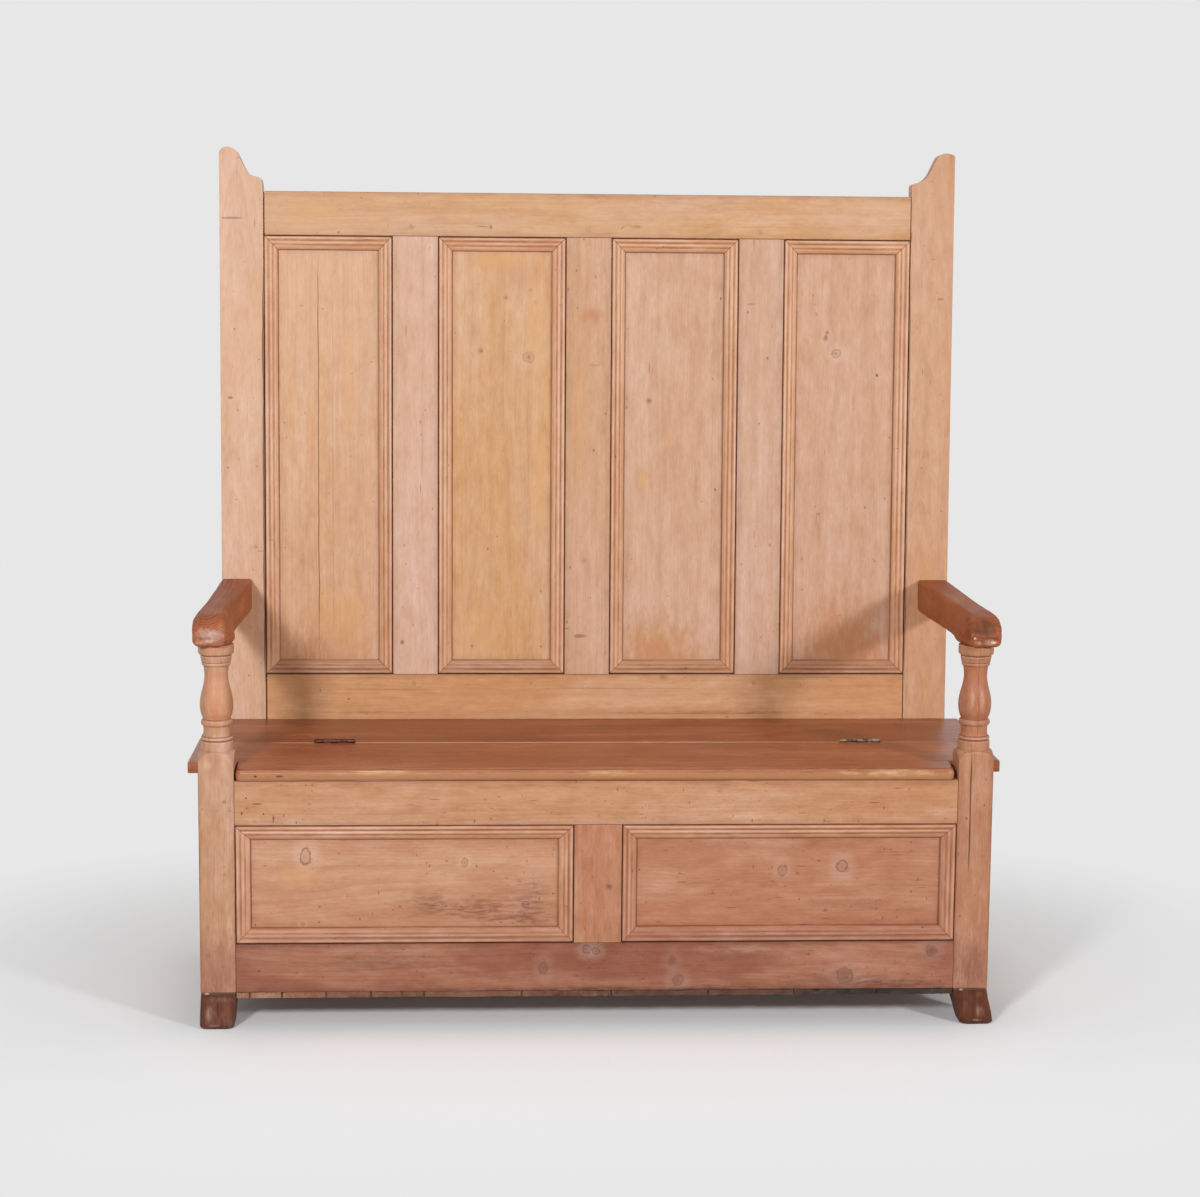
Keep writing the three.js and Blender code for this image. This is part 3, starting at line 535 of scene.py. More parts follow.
class Board:
    # where a board lies, for the grain and the marks on it
    def __init__(self, way, lean, low, high):
        size = (high - low) / 2
        self.way = way
        self.lean = lean
        self.axes = [lean.to_3x3() @ Vector(axis) for axis in grainAxes[way]]
        self.turn = Matrix(self.axes).transposed()
        self.centre = lean @ ((low + high) / 2)
        self.half = Vector([abs(sum(Vector(axis)[i] * size[i] for i in range(3))) for axis in grainAxes[way]])

    def mark(self, a, b, c=None):
        # two of the bench's own millimetres, those that run along this board's face, in its own axes,
        # and the third where the mark lies on one side only
        through = c or 0
        flat = {"across": (a, through, b), "upright": (a, through, b), "side": (through, a - benchMiddle, b)}
        seen = Vector(flat.get(self.way, (a, b - benchMiddle, through))) / 1000
        away = (self.lean @ seen) - self.centre
        return Vector((away.dot(self.axes[0]), away.dot(self.axes[1]),
                       0 if c is None else away.dot(self.axes[2])))


def useGroup(tree, group, links):
    return addNode(tree, "ShaderNodeGroup", links, node_tree=group).outputs


def makePine(name, slot, board, seed, **changes):
    values = {**commonLooks, **finishes[slot], **changes}
    material, tree = withNodes(bpy.data.materials.new(name))
    where = addNode(tree, "ShaderNodeTexCoord").outputs["Object"]
    place = {"Vector": where, "Location": board.centre, "Rotation": board.turn.to_euler()}
    place = feed("ShaderNodeMapping", place, vector_type="TEXTURE")
    bent = place
    for a, b, size, *_ in values["knots"]:
        bent = useGroup(tree, bendGroup, {
            "Place": place, "Bent place": bent, "Knot": board.mark(a, b), "Size": size / 1000})[0]
    inset = Vector((1, 1, 0)) * values["inset"] / 1000
    tones = {key: tuple(part * by for part, by in zip(colour(*values[key]), values["tone"])) + (1,)
             for key in ("light", "dark", "patch", "blush", "grime")}
    shape = 0.5
    if values["shaped"]:
        shape = addNode(tree, "ShaderNodeAttribute", attribute_name="shape").outputs["Fac"]
    pine = useGroup(tree, pineGroup, {
        "Place": place, "Bent place": bent, "Half size": board.half - inset, "Seed": seed,
        "Ring width": values["ringWidth"], "Heart": values["heart"], "Contrast": values["contrast"],
        "Light": tones["light"], "Dark": tones["dark"], "Patch": tones["patch"], "Patches": values["patches"],
        "Blush": tones["blush"], "Blushes": values["blushes"], "Grime": tones["grime"],
        "Edge grime": values["edgeGrime"], "Edge line": values["edgeLine"], "Worn edge": values["wornEdge"],
        "Flecks": values["flecks"], "Shape": shape, "Mottling": values["mottling"],
        "One face": 1.0 if values["inset"] else 0.0, "Roughness": values["roughness"]})
    body = pine["Color"]
    for a, b, size, strength, *more in values["knots"]:
        ring, tall = more + [0.15, 1.0][len(more):]
        body = useGroup(tree, knotGroup, {
            "Color": body, "Place": place, "Knot": board.mark(a, b), "Size": size / 1000, "Ring": ring,
            "Strength": strength, "Tall": tall, "Dark": tones["dark"], "Grime": tones["grime"]})[0]
    for a, b, wide, tall, soft, shade, strength, *third in values["blots"]:
        # wide and tall are the stain's half sizes along the two directions that place it
        upright = board.way in ("upright", "back")
        deep = third[1] if third else 1000
        reach = (tall, wide, deep) if upright else (wide, tall, deep)
        body = useGroup(tree, blotGroup, {
            "Color": body, "Place": place, "Middle": board.mark(a, b, *third[:1]),
            "Reach": Vector(reach) / 1000, "Shade": colour(*shades[shade]), "Strength": strength,
            "Soft": soft, "Broken": 0.75 if shade in brokenShades and soft > 0.7 else 0.0})[0]
    for a, b, halfLength, width, shade, strength in values["splits"]:
        body = useGroup(tree, splitGroup, {
            "Color": body, "Place": place, "Middle": board.mark(a, b), "Half length": halfLength / 1000,
            "Width": width / 1000, "Shade": colour(*shades[shade]), "Strength": strength})[0]
    if values["side"]:
        body = useGroup(tree, quirkGroup, {
            "Color": body, "Place": place, "Half size": board.half, "Side": values["side"],
            "Shade": colour(*shades["quirk"])})[0]
    bump = addNode(tree, "ShaderNodeBump", {"Strength": 0.35, "Distance": 0.0006, "Height": pine["Height"]})
    shader = addNode(tree, "ShaderNodeBsdfPrincipled", {
        "Base Color": body, "Roughness": pine["Roughness"], "Normal": bump.outputs[0],
        "Specular IOR Level": values["specular"]})
    addNode(tree, "ShaderNodeOutputMaterial", {"Surface": shader.outputs[0]})
    return material


def sharpen(made, smoothAngle=35):
    made.data.shade_smooth()
    made.data.set_sharp_from_angle(angle=math.radians(smoothAngle))
    return made


def linked(name, mesh, smoothAngle=35):
    data = bpy.data.meshes.new(name)
    mesh.to_mesh(data)
    mesh.free()
    return sharpen(placed(name, data), smoothAngle)


def applied(made):
    # the modifiers' result as a plain mesh
    shown = made.evaluated_get(bpy.context.evaluated_depsgraph_get())
    data = bpy.data.meshes.new_from_object(shown)
    made.modifiers.clear()
    made.data = data
    return made


def roundEdges(made, width):
    modifier = made.modifiers.new("arrises", "BEVEL")
    modifier.width = width
    modifier.segments = 2
    modifier.limit_method = "ANGLE"
    modifier.angle_limit = math.radians(40)
    modifier.use_clamp_overlap = True
    modifier.harden_normals = True
    return applied(made)


def carve(made, cutter, operation="DIFFERENCE"):
    modifier = made.modifiers.new("carve", "BOOLEAN")
    modifier.operation = operation
    modifier.solver = "EXACT"
    modifier.object = cutter
    applied(made)
    bpy.data.objects.remove(cutter)
    return made


def meshOf(made):
    mesh = bmesh.new()
    mesh.from_mesh(made.data)
    return mesh


def cylinder(radius, depth, sides, matrix=level):
    mesh = bmesh.new()
    bmesh.ops.create_cone(
        mesh, cap_ends=True, segments=sides, radius1=radius, radius2=radius, depth=depth, matrix=matrix)
    return mesh


def blockMesh(boxes):
    mesh = bmesh.new()
    for low, high in boxes:
        corners = bmesh.ops.create_cube(mesh, size=1)["verts"]
        for corner in corners:
            corner.co = Vector([low[i] if corner.co[i] < 0 else high[i] for i in range(3)])
    return mesh


def smooth(rows, steps):
    # a curve through rows of numbers that doesn't swing past any of them
    count = len(rows)
    slopes = []
    for i in range(count):
        slope = []
        for column in range(len(rows[0])):
            before = rows[i][column] - rows[i - 1][column] if i else None
            after = rows[i + 1][column] - rows[i][column] if i < count - 1 else None
            if before is None or after is None:
                slope.append(after if before is None else before)
            else:
                slope.append(2 * before * after / (before + after) if before * after > 0 else 0)
        slopes.append(slope)
    result = []
    for i in range(count - 1):
        for step in range(steps):
            t = step / steps
            a, b = 2 * t ** 3 - 3 * t ** 2 + 1, t ** 3 - 2 * t ** 2 + t
            result.append([a * p + b * m + (1 - a) * q + (t ** 3 - t ** 2) * n
                           for p, q, m, n in zip(rows[i], rows[i + 1], slopes[i], slopes[i + 1])])
    return result + [list(rows[-1])]


def loft(rings):
    mesh = bmesh.new()
    made = [[mesh.verts.new(point) for point in ring] for ring in rings]
    for first, second in zip(made, made[1:]):
        for i in range(len(first)):
            j = (i + 1) % len(first)
            mesh.faces.new((first[i], first[j], second[j], second[i]))
    mesh.faces.new(list(reversed(made[0])))
    mesh.faces.new(made[-1])
    bmesh.ops.recalc_face_normals(mesh, faces=mesh.faces)
    return mesh


def wear(mesh, amount, size, seed):
    # hand work and use leave no face quite true
    for corner in mesh.verts:
        away = max(0, noise.noise(corner.co / size + Vector((seed, seed, seed))) + 0.1)
        corner.co -= corner.normal * away * amount


def markShape(made, above=-1):
    # how far each corner stands out (over a half) or lies in a hollow (under it)
    mesh = meshOf(made)
    mesh.normal_update()
    bends = []
    for corner in mesh.verts:
        ways = [corner.co - edge.other_vert(corner).co for edge in corner.link_edges]
        found = [2 * way.dot(corner.normal) / way.length_squared for way in ways if way.length > 0.0002]
        bend = sum(found) / len(found) if found else 0
        bends.append(min(1, max(0, 0.5 + bend / 520)) if corner.co.z > above else 0.5)
    mesh.verts.ensure_lookup_table()
    layer = made.data.attributes.new("shape", "FLOAT", "POINT")
    for corner, item in zip(mesh.verts, layer.data):
        near = [bends[edge.other_vert(corner).index] for edge in corner.link_edges]
        item.value = (bends[corner.index] + sum(near) / len(near)) / 2
    mesh.free()
    return made


def finishPiece(made, material, nodes):
    made.data.materials.clear()
    made.data.materials.append(material)
    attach(made, bodyOf[nodes[0]])
    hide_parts(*nodes)
    return made


def pieceName(node):
    words = node.split("_")
    return words[0] + "".join(word.title() for word in words[1:])


def nodeBox(node, lean=level):
    inverse = lean.inverted()
    places = [inverse @ corner.co for corner in cad[node].data.vertices]
    low = Vector([min(p[i] for p in places) for i in range(3)])
    high = Vector([max(p[i] for p in places) for i in range(3)])
    return low, high


seeds = random.Random(7)


def dressSolid(node, arris):
    # a node's solid with its loose triangles joined, its faces whole and its arrises taken off
    mesh = meshOf(cad[node])
    bmesh.ops.remove_doubles(mesh, verts=mesh.verts, dist=0.00001)
    bmesh.ops.dissolve_limit(
        mesh, angle_limit=math.radians(0.4), verts=mesh.verts, edges=mesh.edges, delimit=set())
    made = linked(pieceName(node), mesh)
    return roundEdges(made, arris) if arris else made


def dressBoard(node, slot, way, lean=level, **looks):
    made = dressSolid(node, looks.pop("arris", 0 if "panel" in node else 0.0012))
    board = Board(way, lean, *nodeBox(node, lean))
    material = makePine(made.name, slot, board, seeds.uniform(0, 20), **looks)
    return finishPiece(made, material, [node])


pinker = {"light": (226, 186, 164), "dark": (206, 158, 128), "patch": (218, 172, 142)}
yellower = {"light": (222, 178, 140), "dark": (204, 150, 100), "patch": (216, 162, 106)}

# Back: knots are (x, z, size, strength) and stains (x, z, half width, half height, softness, shade, strength)
backValues = {
    "back_stile_left": {
        "tone": (0.94, 0.96, 0.97), "way": "upright", "arris": 0.0025, "wornEdge": 0.25,
        "blots": [(-716, 1505, 26, 3, 0.5, "grey", 0.6), (-721, 1147, 7, 3, 0.5, "brown", 0.7),
                  (-690, 1318, 14, 26, 0.9, "orange", 0.35), (-672, 846, 19, 6, 0.9, "red", 0.45),
                  (-662, 838, 9, 2, 0.6, "brown", 0.4), (-698, 700, 45, 120, 1.0, "honey", 0.4)],
        # the dark band along the inner edge is painted shadow of an open joint
        "splits": [(-654.4, 980, 460, 3.4, "gap", 0.9)],
    },
    "back_stile_right": {
        # the darker tone is partly painted shade, the right-hand side getting less light
        "tone": (0.825, 0.75, 0.67), "way": "upright", "arris": 0.0025, "wornEdge": 0.25,
        "blots": [(715, 1354, 8, 3, 0.5, "brown", 0.5), (700, 1434, 5, 2, 0.5, "grey", 0.5),
                  (690, 760, 40, 160, 1.0, "honey", 0.4)],
        # the dark band along the inner edge is painted shadow of an open joint
        "splits": [(654.2, 980, 460, 2.4, "gap", 0.7)],
    },
    "back_top_rail": {
        "tone": (0.86, 0.82, 0.77), "way": "across", **yellower,
        "blots": [(-503, 983, 4, 3, 0.4, "grey", 0.6), (-198, 996, 4, 5, 0.4, "grey", 0.6),
                  (96, 999, 12, 4, 0.5, "grey", 0.4), (10, 1058, 60, 5, 0.8, "brown", 0.3),
                  (-560, 1020, 90, 40, 1.0, "honey", 0.4), (330, 1010, 160, 40, 1.0, "pale", 0.25)],
    },
    "back_seat_rail": {
        "tone": (0.91, 0.85, 0.71), "way": "across", "light": (212, 162, 124), "dark": (190, 134, 92),
        "patch": (202, 148, 102),
        "knots": [(158, 86, 9, 0.7)],
        "blots": [(-400, 60, 120, 2, 0.4, "brown", 0.3), (60, 62, 200, 1.5, 0.4, "brown", 0.3),
                  (0, 8, 900, 26, 0.9, "tan", 0.5), (100, 60, 420, 30, 1.0, "tan", 0.3),
                  (250, 12, 380, 5, 0.9, "dirt", 0.45), (-450, 12, 160, 5, 0.9, "dirt", 0.35)],
        "splits": [(-480, 52, 70, 0.8, "brown", 0.5), (250, 10, 150, 1.0, "hole", 0.4)],
    },
    "back_muntin_1": {
        "tone": (0.885, 0.88, 0.85), "way": "upright", **pinker,
        "blots": [(-376, 157, 5, 6, 0.5, "grey", 0.7), (-372, 355, 3, 4, 0.5, "grey", 0.5),
                  (-395, 500, 14, 240, 1.0, "pale", 0.3)],
    },
    "back_muntin_2": {
        "tone": (0.855, 0.84, 0.81), "way": "upright",
        "knots": [(-6, 325, 8, 0.5)],
        "blots": [(6, 821, 36, 26, 1.0, "rust", 0.5), (13, 721, 14, 3, 0.7, "brown", 0.3),
                  (-14, 170, 17, 5, 0.5, "brown", 0.6), (-20, 600, 26, 260, 1.0, "honey", 0.3)],
    },
    "back_muntin_3": {
        "tone": (0.835, 0.825, 0.79), "way": "upright", **pinker,
        "blots": [(329, 846, 12, 3, 0.6, "brown", 0.4), (364, 737, 3, 4, 0.5, "grey", 0.7),
                  (373, 357, 3, 5, 0.5, "grey", 0.5)],
    },
    "back_panel_1": {
        "tone": (0.91, 0.88, 0.84), "way": "upright",
        # the tan and brown stains low down are partly painted shadow of the arm
        "blots": [(-540, 110, 120, 150, 1.0, "tan", 0.75), (-480, 700, 26, 260, 1.0, "honey", 0.45),
                  (-500, 200, 90, 90, 1.0, "honey", 0.5), (-560, 130, 60, 70, 1.0, "brown", 0.35),
                  (-578, 600, 22, 330, 1.0, "pale", 0.3)],
        "splits": [(-545, 540, 440, 1.7, "hole", 0.85), (-516, 540, 430, 1.0, "brown", 0.4)],
    },
    "back_panel_2": {
        "tone": (0.865, 0.83, 0.77), "way": "upright", **yellower,
        "knots": [(-219, 749, 6, 1.0, 0.3), (-120, 736, 10, 1.0, 0.6, 1.2), (-167, 856, 5, 0.9),
                  (-106, 847, 5, 0.7, 0.4)],
        "blots": [(-120, 737, 4, 7, 0.6, "grey", 0.6), (-216, 748, 5, 4, 0.6, "grey", 0.6),
                  (-130, 905, 80, 50, 1.0, "tan", 0.4), (-200, 930, 70, 26, 1.0, "tan", 0.4),
                  (-179, 931, 90, 30, 1.0, "honey", 0.7), (-110, 800, 40, 200, 1.0, "honey", 0.45),
                  (-100, 470, 26, 190, 1.0, "honey", 0.5), (-210, 180, 70, 80, 1.0, "honey", 0.4)],
    },
    "back_panel_3": {
        "tone": (0.84, 0.82, 0.755), "way": "upright", **pinker, "heart": (0, 0.03, 0.05),
        "knots": [(124, 650, 6, 1.0, 0.4), (78, 636, 4, 0.9)],
        "blots": [(124, 650, 5, 5, 0.6, "grey", 0.5), (135, 120, 150, 130, 1.0, "tan", 0.35),
                  (160, 915, 80, 46, 1.0, "tan", 0.3), (135, 845, 7, 16, 0.9, "honey", 0.8),
                  (111, 488, 11, 22, 0.9, "honey", 0.8), (164, 569, 10, 30, 0.95, "honey", 0.5),
                  (150, 130, 90, 90, 1.0, "honey", 0.5), (150, 110, 110, 130, 1.0, "tan", 0.7)],
    },
    "back_panel_4": {
        "tone": (0.83, 0.79, 0.73), "way": "upright", **pinker,
        "knots": [(484, 779, 7, 1.0, 0.5, 0.7), (505, 748, 8, 1.0, 0.9)],
        # the rust, orange, tan and brown stains low down are partly painted shadow of the arm
        "blots": [(487, 790, 5, 4, 0.6, "red", 0.7), (530, 170, 110, 130, 1.0, "rust", 0.35),
                  (484, 779, 5, 7, 0.6, "grey", 0.5), (505, 748, 3, 3, 0.5, "grey", 0.6),
                  (590, 704, 3, 4, 0.4, "hole", 0.7), (540, 130, 100, 110, 1.0, "orange", 0.5),
                  (530, 110, 120, 150, 1.0, "tan", 0.8), (520, 70, 90, 30, 1.0, "brown", 0.25),
                  (474, 420, 6, 4, 0.8, "dirt", 0.6), (532, 432, 5, 5, 0.8, "dirt", 0.5),
                  (570, 434, 3, 5, 0.7, "dirt", 0.6)],
    },
}

for node, values in backValues.items():
    slot = "panel_pine" if "panel" in node else "pale_pine"
    dressBoard(node, slot, lean=level if "stile" in node else leanMatrix, **values)
print("back boards ready")


# Box: on the front x and z place the marks, on the floor and seat x and y
warm = {"light": (210, 160, 124), "dark": (186, 132, 96), "patch": (200, 144, 104)}
boxValues = {
    "front_top_rail": {
        "mottling": 1.6, "flecks": 3.4, "tone": (0.86, 0.81, 0.76), "slot": "pale_pine", "way": "across",
        **warm,
        "knots": [(226, 455, 7, 0.4), (1, 407, 5, 0.5)],
        "blots": [(-652, 442, 2, 2, 0.4, "hole", 0.8), (-632, 431, 12, 2, 0.5, "hole", 0.6),
                  (-660, 413, 2, 4, 0.4, "hole", 0.7), (-620, 412, 2, 2, 0.4, "hole", 0.8),
                  (-602, 403, 2, 9, 0.5, "hole", 0.6), (237, 465, 16, 3, 0.6, "grey", 0.4),
                  (-300, 392, 4, 2, 0.4, "brown", 0.6), (430, 395, 8, 2, 0.4, "brown", 0.5),
                  (-200, 402, 3, 5, 0.4, "brown", 0.4), (80, 410, 6, 2, 0.4, "brown", 0.4)],
    },
    "front_bottom_rail": {
        "tone": (0.745, 0.605, 0.57), "slot": "moulding_pine", "way": "across", "edgeLine": 0.4,
        "edgeGrime": 0.3, "flecks": 4.4, "mottling": 1.7, "light": (178, 124, 98), "dark": (138, 86, 64),
        "patch": (152, 96, 74),
        "knots": [(-20, 151, 8, 0.9, 0.8), (-2, 148, 7, 0.9, 0.8), (141, 130, 8, 0.8, 0.5),
                  (631, 146, 10, 1.0, 0.5), (-101, 116, 8, 0.8, 0.7, 1.5), (152, 91, 10, 0.8, 0.6),
                  (468, 98, 14, 0.8, 0.65, 1.2)],
        "blots": [(-631, 113, 8, 5, 0.9, "brown", 0.7), (-631, 113, 2.4, 2.4, 0.6, "hole", 0.8),
                  (-420, 128, 220, 22, 1.0, "dirt", 0.6), (500, 92, 190, 24, 1.0, "dirt", 0.55),
                  (-80, 120, 200, 22, 1.0, "brown", 0.4), (0, 74, 680, 6, 0.9, "hole", 0.6),
                  (560, 80, 130, 12, 0.9, "hole", 0.6), (300, 150, 190, 12, 1.0, "pale", 0.2)],
    },
    "front_muntin": {
        "tone": (0.89, 0.77, 0.71), "slot": "pale_pine", "way": "upright", "light": (200, 150, 120),
        "dark": (176, 124, 94), "mottling": 1.8, "flecks": 2.6, "patch": (184, 128, 98),
        "knots": [(21, 272, 8, 1.0)],
        "blots": [(21, 272, 4, 4, 0.5, "grey", 0.9), (10, 200, 30, 60, 1.0, "dirt", 0.3)],
    },
    "front_panel_left": {
        "tone": (0.88, 0.80, 0.75), "slot": "panel_pine", "way": "across", **warm, "light": (206, 158, 126),
        "patch": (192, 140, 106), "flecks": 3.2, "mottling": 1.3,
        "knots": [(-543, 329, 10, 0.95, 1.0, 1.6), (-249, 315, 6, 0.9, 0.8, 1.2), (-135, 234, 7, 1.0, 1.0),
                  (-550, 199, 4, 0.9, 0.7), (-117, 271, 4, 0.9, 0.8)],
        "blots": [(-230, 226, 170, 26, 1.0, "plum", 0.8), (-120, 240, 50, 64, 1.0, "plum", 0.65),
                  (-320, 240, 70, 30, 1.0, "plum", 0.7), (-150, 208, 130, 16, 1.0, "plum", 0.85),
                  (-180, 236, 150, 50, 1.0, "red", 0.5), (-310, 262, 60, 10, 1.0, "red", 0.4),
                  (-420, 215, 110, 9, 1.0, "red", 0.4), (-560, 290, 60, 30, 1.0, "honey", 0.4),
                  (-330, 345, 200, 9, 1.0, "red", 0.25)],
    },
    "front_panel_right": {
        "tone": (0.85, 0.76, 0.71), "slot": "panel_pine", "way": "across", "light": (198, 144, 114),
        "dark": (172, 116, 86), "patch": (182, 126, 94), "heart": (0, -0.05, 0.045), "flecks": 3.4,
        "mottling": 1.4,
        "knots": [(348, 299, 8, 0.9, 0.8, 1.4), (460, 306, 10, 1.0, 0.9, 1.3), (430, 221, 4, 0.9)],
        "blots": [(470, 300, 10, 9, 0.9, "grey", 0.6), (280, 276, 150, 26, 1.0, "red", 0.4),
                  (330, 345, 200, 10, 1.0, "brown", 0.3), (500, 230, 110, 22, 1.0, "dirt", 0.25)],
    },
    "end_board_left": {
        "slot": "pale_pine", "way": "side", **warm,
        "knots": [(180, 320, 11, 0.8), (390, 190, 9, 0.7)],
    },
    "end_board_right": {
        "slot": "pale_pine", "way": "side", **warm,
        "knots": [(260, 380, 10, 0.8), (420, 240, 12, 0.7)],
    },
    "chest_back_board": {
        "slot": "inner_pine", "way": "across",
        "knots": [(-300, 250, 14, 0.8), (240, 360, 12, 0.8), (480, 150, 15, 0.8)],
    },
}

for node, values in boxValues.items():
    dressBoard(node, **values)
print("box boards ready")


def runTree(name, tree, mesh, inputs):
    # one modifier, set by its sockets' identifiers, then made a plain mesh
    made = placed(name, mesh)
    modifier = made.modifiers.new(name, "NODES")
    modifier.node_group = tree
    for item in tree.interface.items_tree:
        if item.in_out == "INPUT" and item.name in inputs:
            modifier[item.identifier] = inputs[item.name]
    return applied(made)


def pointMesh(name, points, edges=(), **columns):
    # loose points with a number or a direction each, for a tree to read
    data = bpy.data.meshes.new(name)
    data.from_pydata([tuple(point) for point in points], list(edges), [])
    for label, values in columns.items():
        isVector = not isinstance(values[0], (int, float))
        layer = data.attributes.new(label, "FLOAT_VECTOR" if isVector else "FLOAT", "POINT")
        for item, value in zip(layer.data, values):
            if isVector:
                item.vector = value
            else:
                item.value = value
    return data


def boolean(tree, operation, links, *others):
    made = addNode(tree, "GeometryNodeMeshBoolean", links, operation=operation, solver="EXACT")
    for other in others:
        tree.links.new(other.socket, made.inputs["Mesh 2"])
    return Wire(made.outputs["Mesh"])


def readColumn(tree, label, kind="FLOAT"):
    return Wire(addNode(tree, "GeometryNodeInputNamedAttribute", {"Name": label}, data_type=kind).outputs[0])


def closeTree(tree, mesh, material):
    real = feed("GeometryNodeRealizeInstances", {"Geometry": mesh})
    done = feed("GeometryNodeSetMaterial", {"Geometry": real, "Material": material})
    return endTree(tree, Mesh=done)


# A square stick turned round above: one line of points, each with its radius, met with the square
def makeTurningTree():
    tree, given = newTree("turning", "GeometryNodeTree", {
        "Profile": "mesh", "Sides": "whole", "Width": "value", "Depth": "value", "Arris": "value",
        "Low": "value", "High": "value", "Material": "material"}, {"Mesh": "mesh"})
    spine = feed("GeometryNodeMeshToCurve", {"Mesh": given["Profile"]})
    circle = feed("GeometryNodeCurvePrimitiveCircle", {"Resolution": given["Sides"], "Radius": 1.0})
    turned = feed("GeometryNodeCurveToMesh", {
        "Curve": spine, "Profile Curve": circle, "Scale": readColumn(tree, "reach"), "Fill Caps": True})
    plan = feed("GeometryNodeCurvePrimitiveQuadrilateral", {
        "Width": given["Width"], "Height": given["Depth"]})
    plan = feed("GeometryNodeFilletCurve", {
        "Curve": plan, "Count": 3, "Radius": given["Arris"]}, mode="POLY")
    line = feed("GeometryNodeCurvePrimitiveLine", {
        "Start": combine(0.0, 0.0, given["Low"]), "End": combine(0.0, 0.0, given["High"])})
    stick = feed("GeometryNodeCurveToMesh", {"Curve": line, "Profile Curve": plan, "Fill Caps": True})
    return closeTree(tree, boolean(tree, "INTERSECT", {}, turned, stick), given["Material"])


# A section swept along a straight line, cut to a mitre at both ends and a little worn
def makeStripTree():
    tree, given = newTree("moulding strip", "GeometryNodeTree", {
        "Section": "mesh", "Length": "value", "Parts": "whole", "Mitre gap": "value", "Wear": "value",
        "Seed": "value", "Material": "material"}, {"Mesh": "mesh"})
    half = given["Length"] * 0.5
    line = feed("GeometryNodeCurvePrimitiveLine", {
        "Start": combine(half * -1.0, 0.0, 0.0), "End": combine(half, 0.0, 0.0)})
    line = feed("GeometryNodeResampleCurve", {"Curve": line, "Count": given["Parts"]})
    section = feed("GeometryNodeMeshToCurve", {"Mesh": given["Section"]})
    strip = feed("GeometryNodeCurveToMesh", {"Curve": line, "Profile Curve": section, "Fill Caps": True})
    place = tree.nodes.new("GeometryNodeInputPosition").outputs[0]
    parts = separate(place)
    inward = calc("ABSOLUTE", parts[1]) + given["Mitre gap"]
    share = 1.0 - inward / half
    along = parts[0] * share
    spot = vectorCalc("ADD", place, combine(given["Seed"], given["Seed"], 0.0))
    rough = noiseValue(spot, (28.0, 60.0, 60.0), 3.0) - 0.5
    drop = rough * given["Wear"] * calc("GREATER_THAN", parts[2], 0.002)
    moved = combine(along, parts[1], parts[2] + drop)
    strip = feed("GeometryNodeSetPosition", {"Geometry": strip, "Position": moved})
    return closeTree(tree, strip, given["Material"])


# Pegs and screws: one low tapered head on each point, facing the point's own way
def makeHeadTree():
    tree, given = newTree("heads", "GeometryNodeTree", {
        "Points": "mesh", "Sides": "whole", "Radius": "value", "Taper": "value", "Depth": "value",
        "Slot": "value", "Seed": "whole", "Material": "material"}, {"Mesh": "mesh"})
    head = feed("GeometryNodeMeshCone", {
        "Vertices": given["Sides"], "Radius Bottom": given["Radius"],
        "Radius Top": given["Radius"] * given["Taper"], "Depth": given["Depth"]}, "Mesh")
    size = combine(given["Radius"] * 4.0, given["Slot"], given["Slot"])
    slot = {"Geometry": feed("GeometryNodeMeshCube", {"Size": size}),
            "Translation": combine(0.0, 0.0, given["Depth"])}
    slot = feed("GeometryNodeTransform", slot)
    cut = boolean(tree, "DIFFERENCE", {"Mesh 1": head}, slot)
    facing = feed("FunctionNodeAlignRotationToVector", {
        "Vector": readColumn(tree, "facing", "FLOAT_VECTOR")}, axis="Z")
    index = tree.nodes.new("GeometryNodeInputIndex").outputs[0]
    spin = feed("FunctionNodeRandomValue", {2: 0.0, 3: 1.6, "ID": index, "Seed": given["Seed"]}, 1,
                data_type="FLOAT")
    spin = feed("FunctionNodeEulerToRotation", {0: combine(0.0, 0.0, spin)})
    turned = feed("FunctionNodeRotateRotation", {"Rotation": facing, "Rotate By": spin},
                  rotation_space="LOCAL")
    spread = feed("GeometryNodeInstanceOnPoints", {
        "Points": given["Points"], "Instance": cut, "Rotation": turned})
    return closeTree(tree, spread, given["Material"])


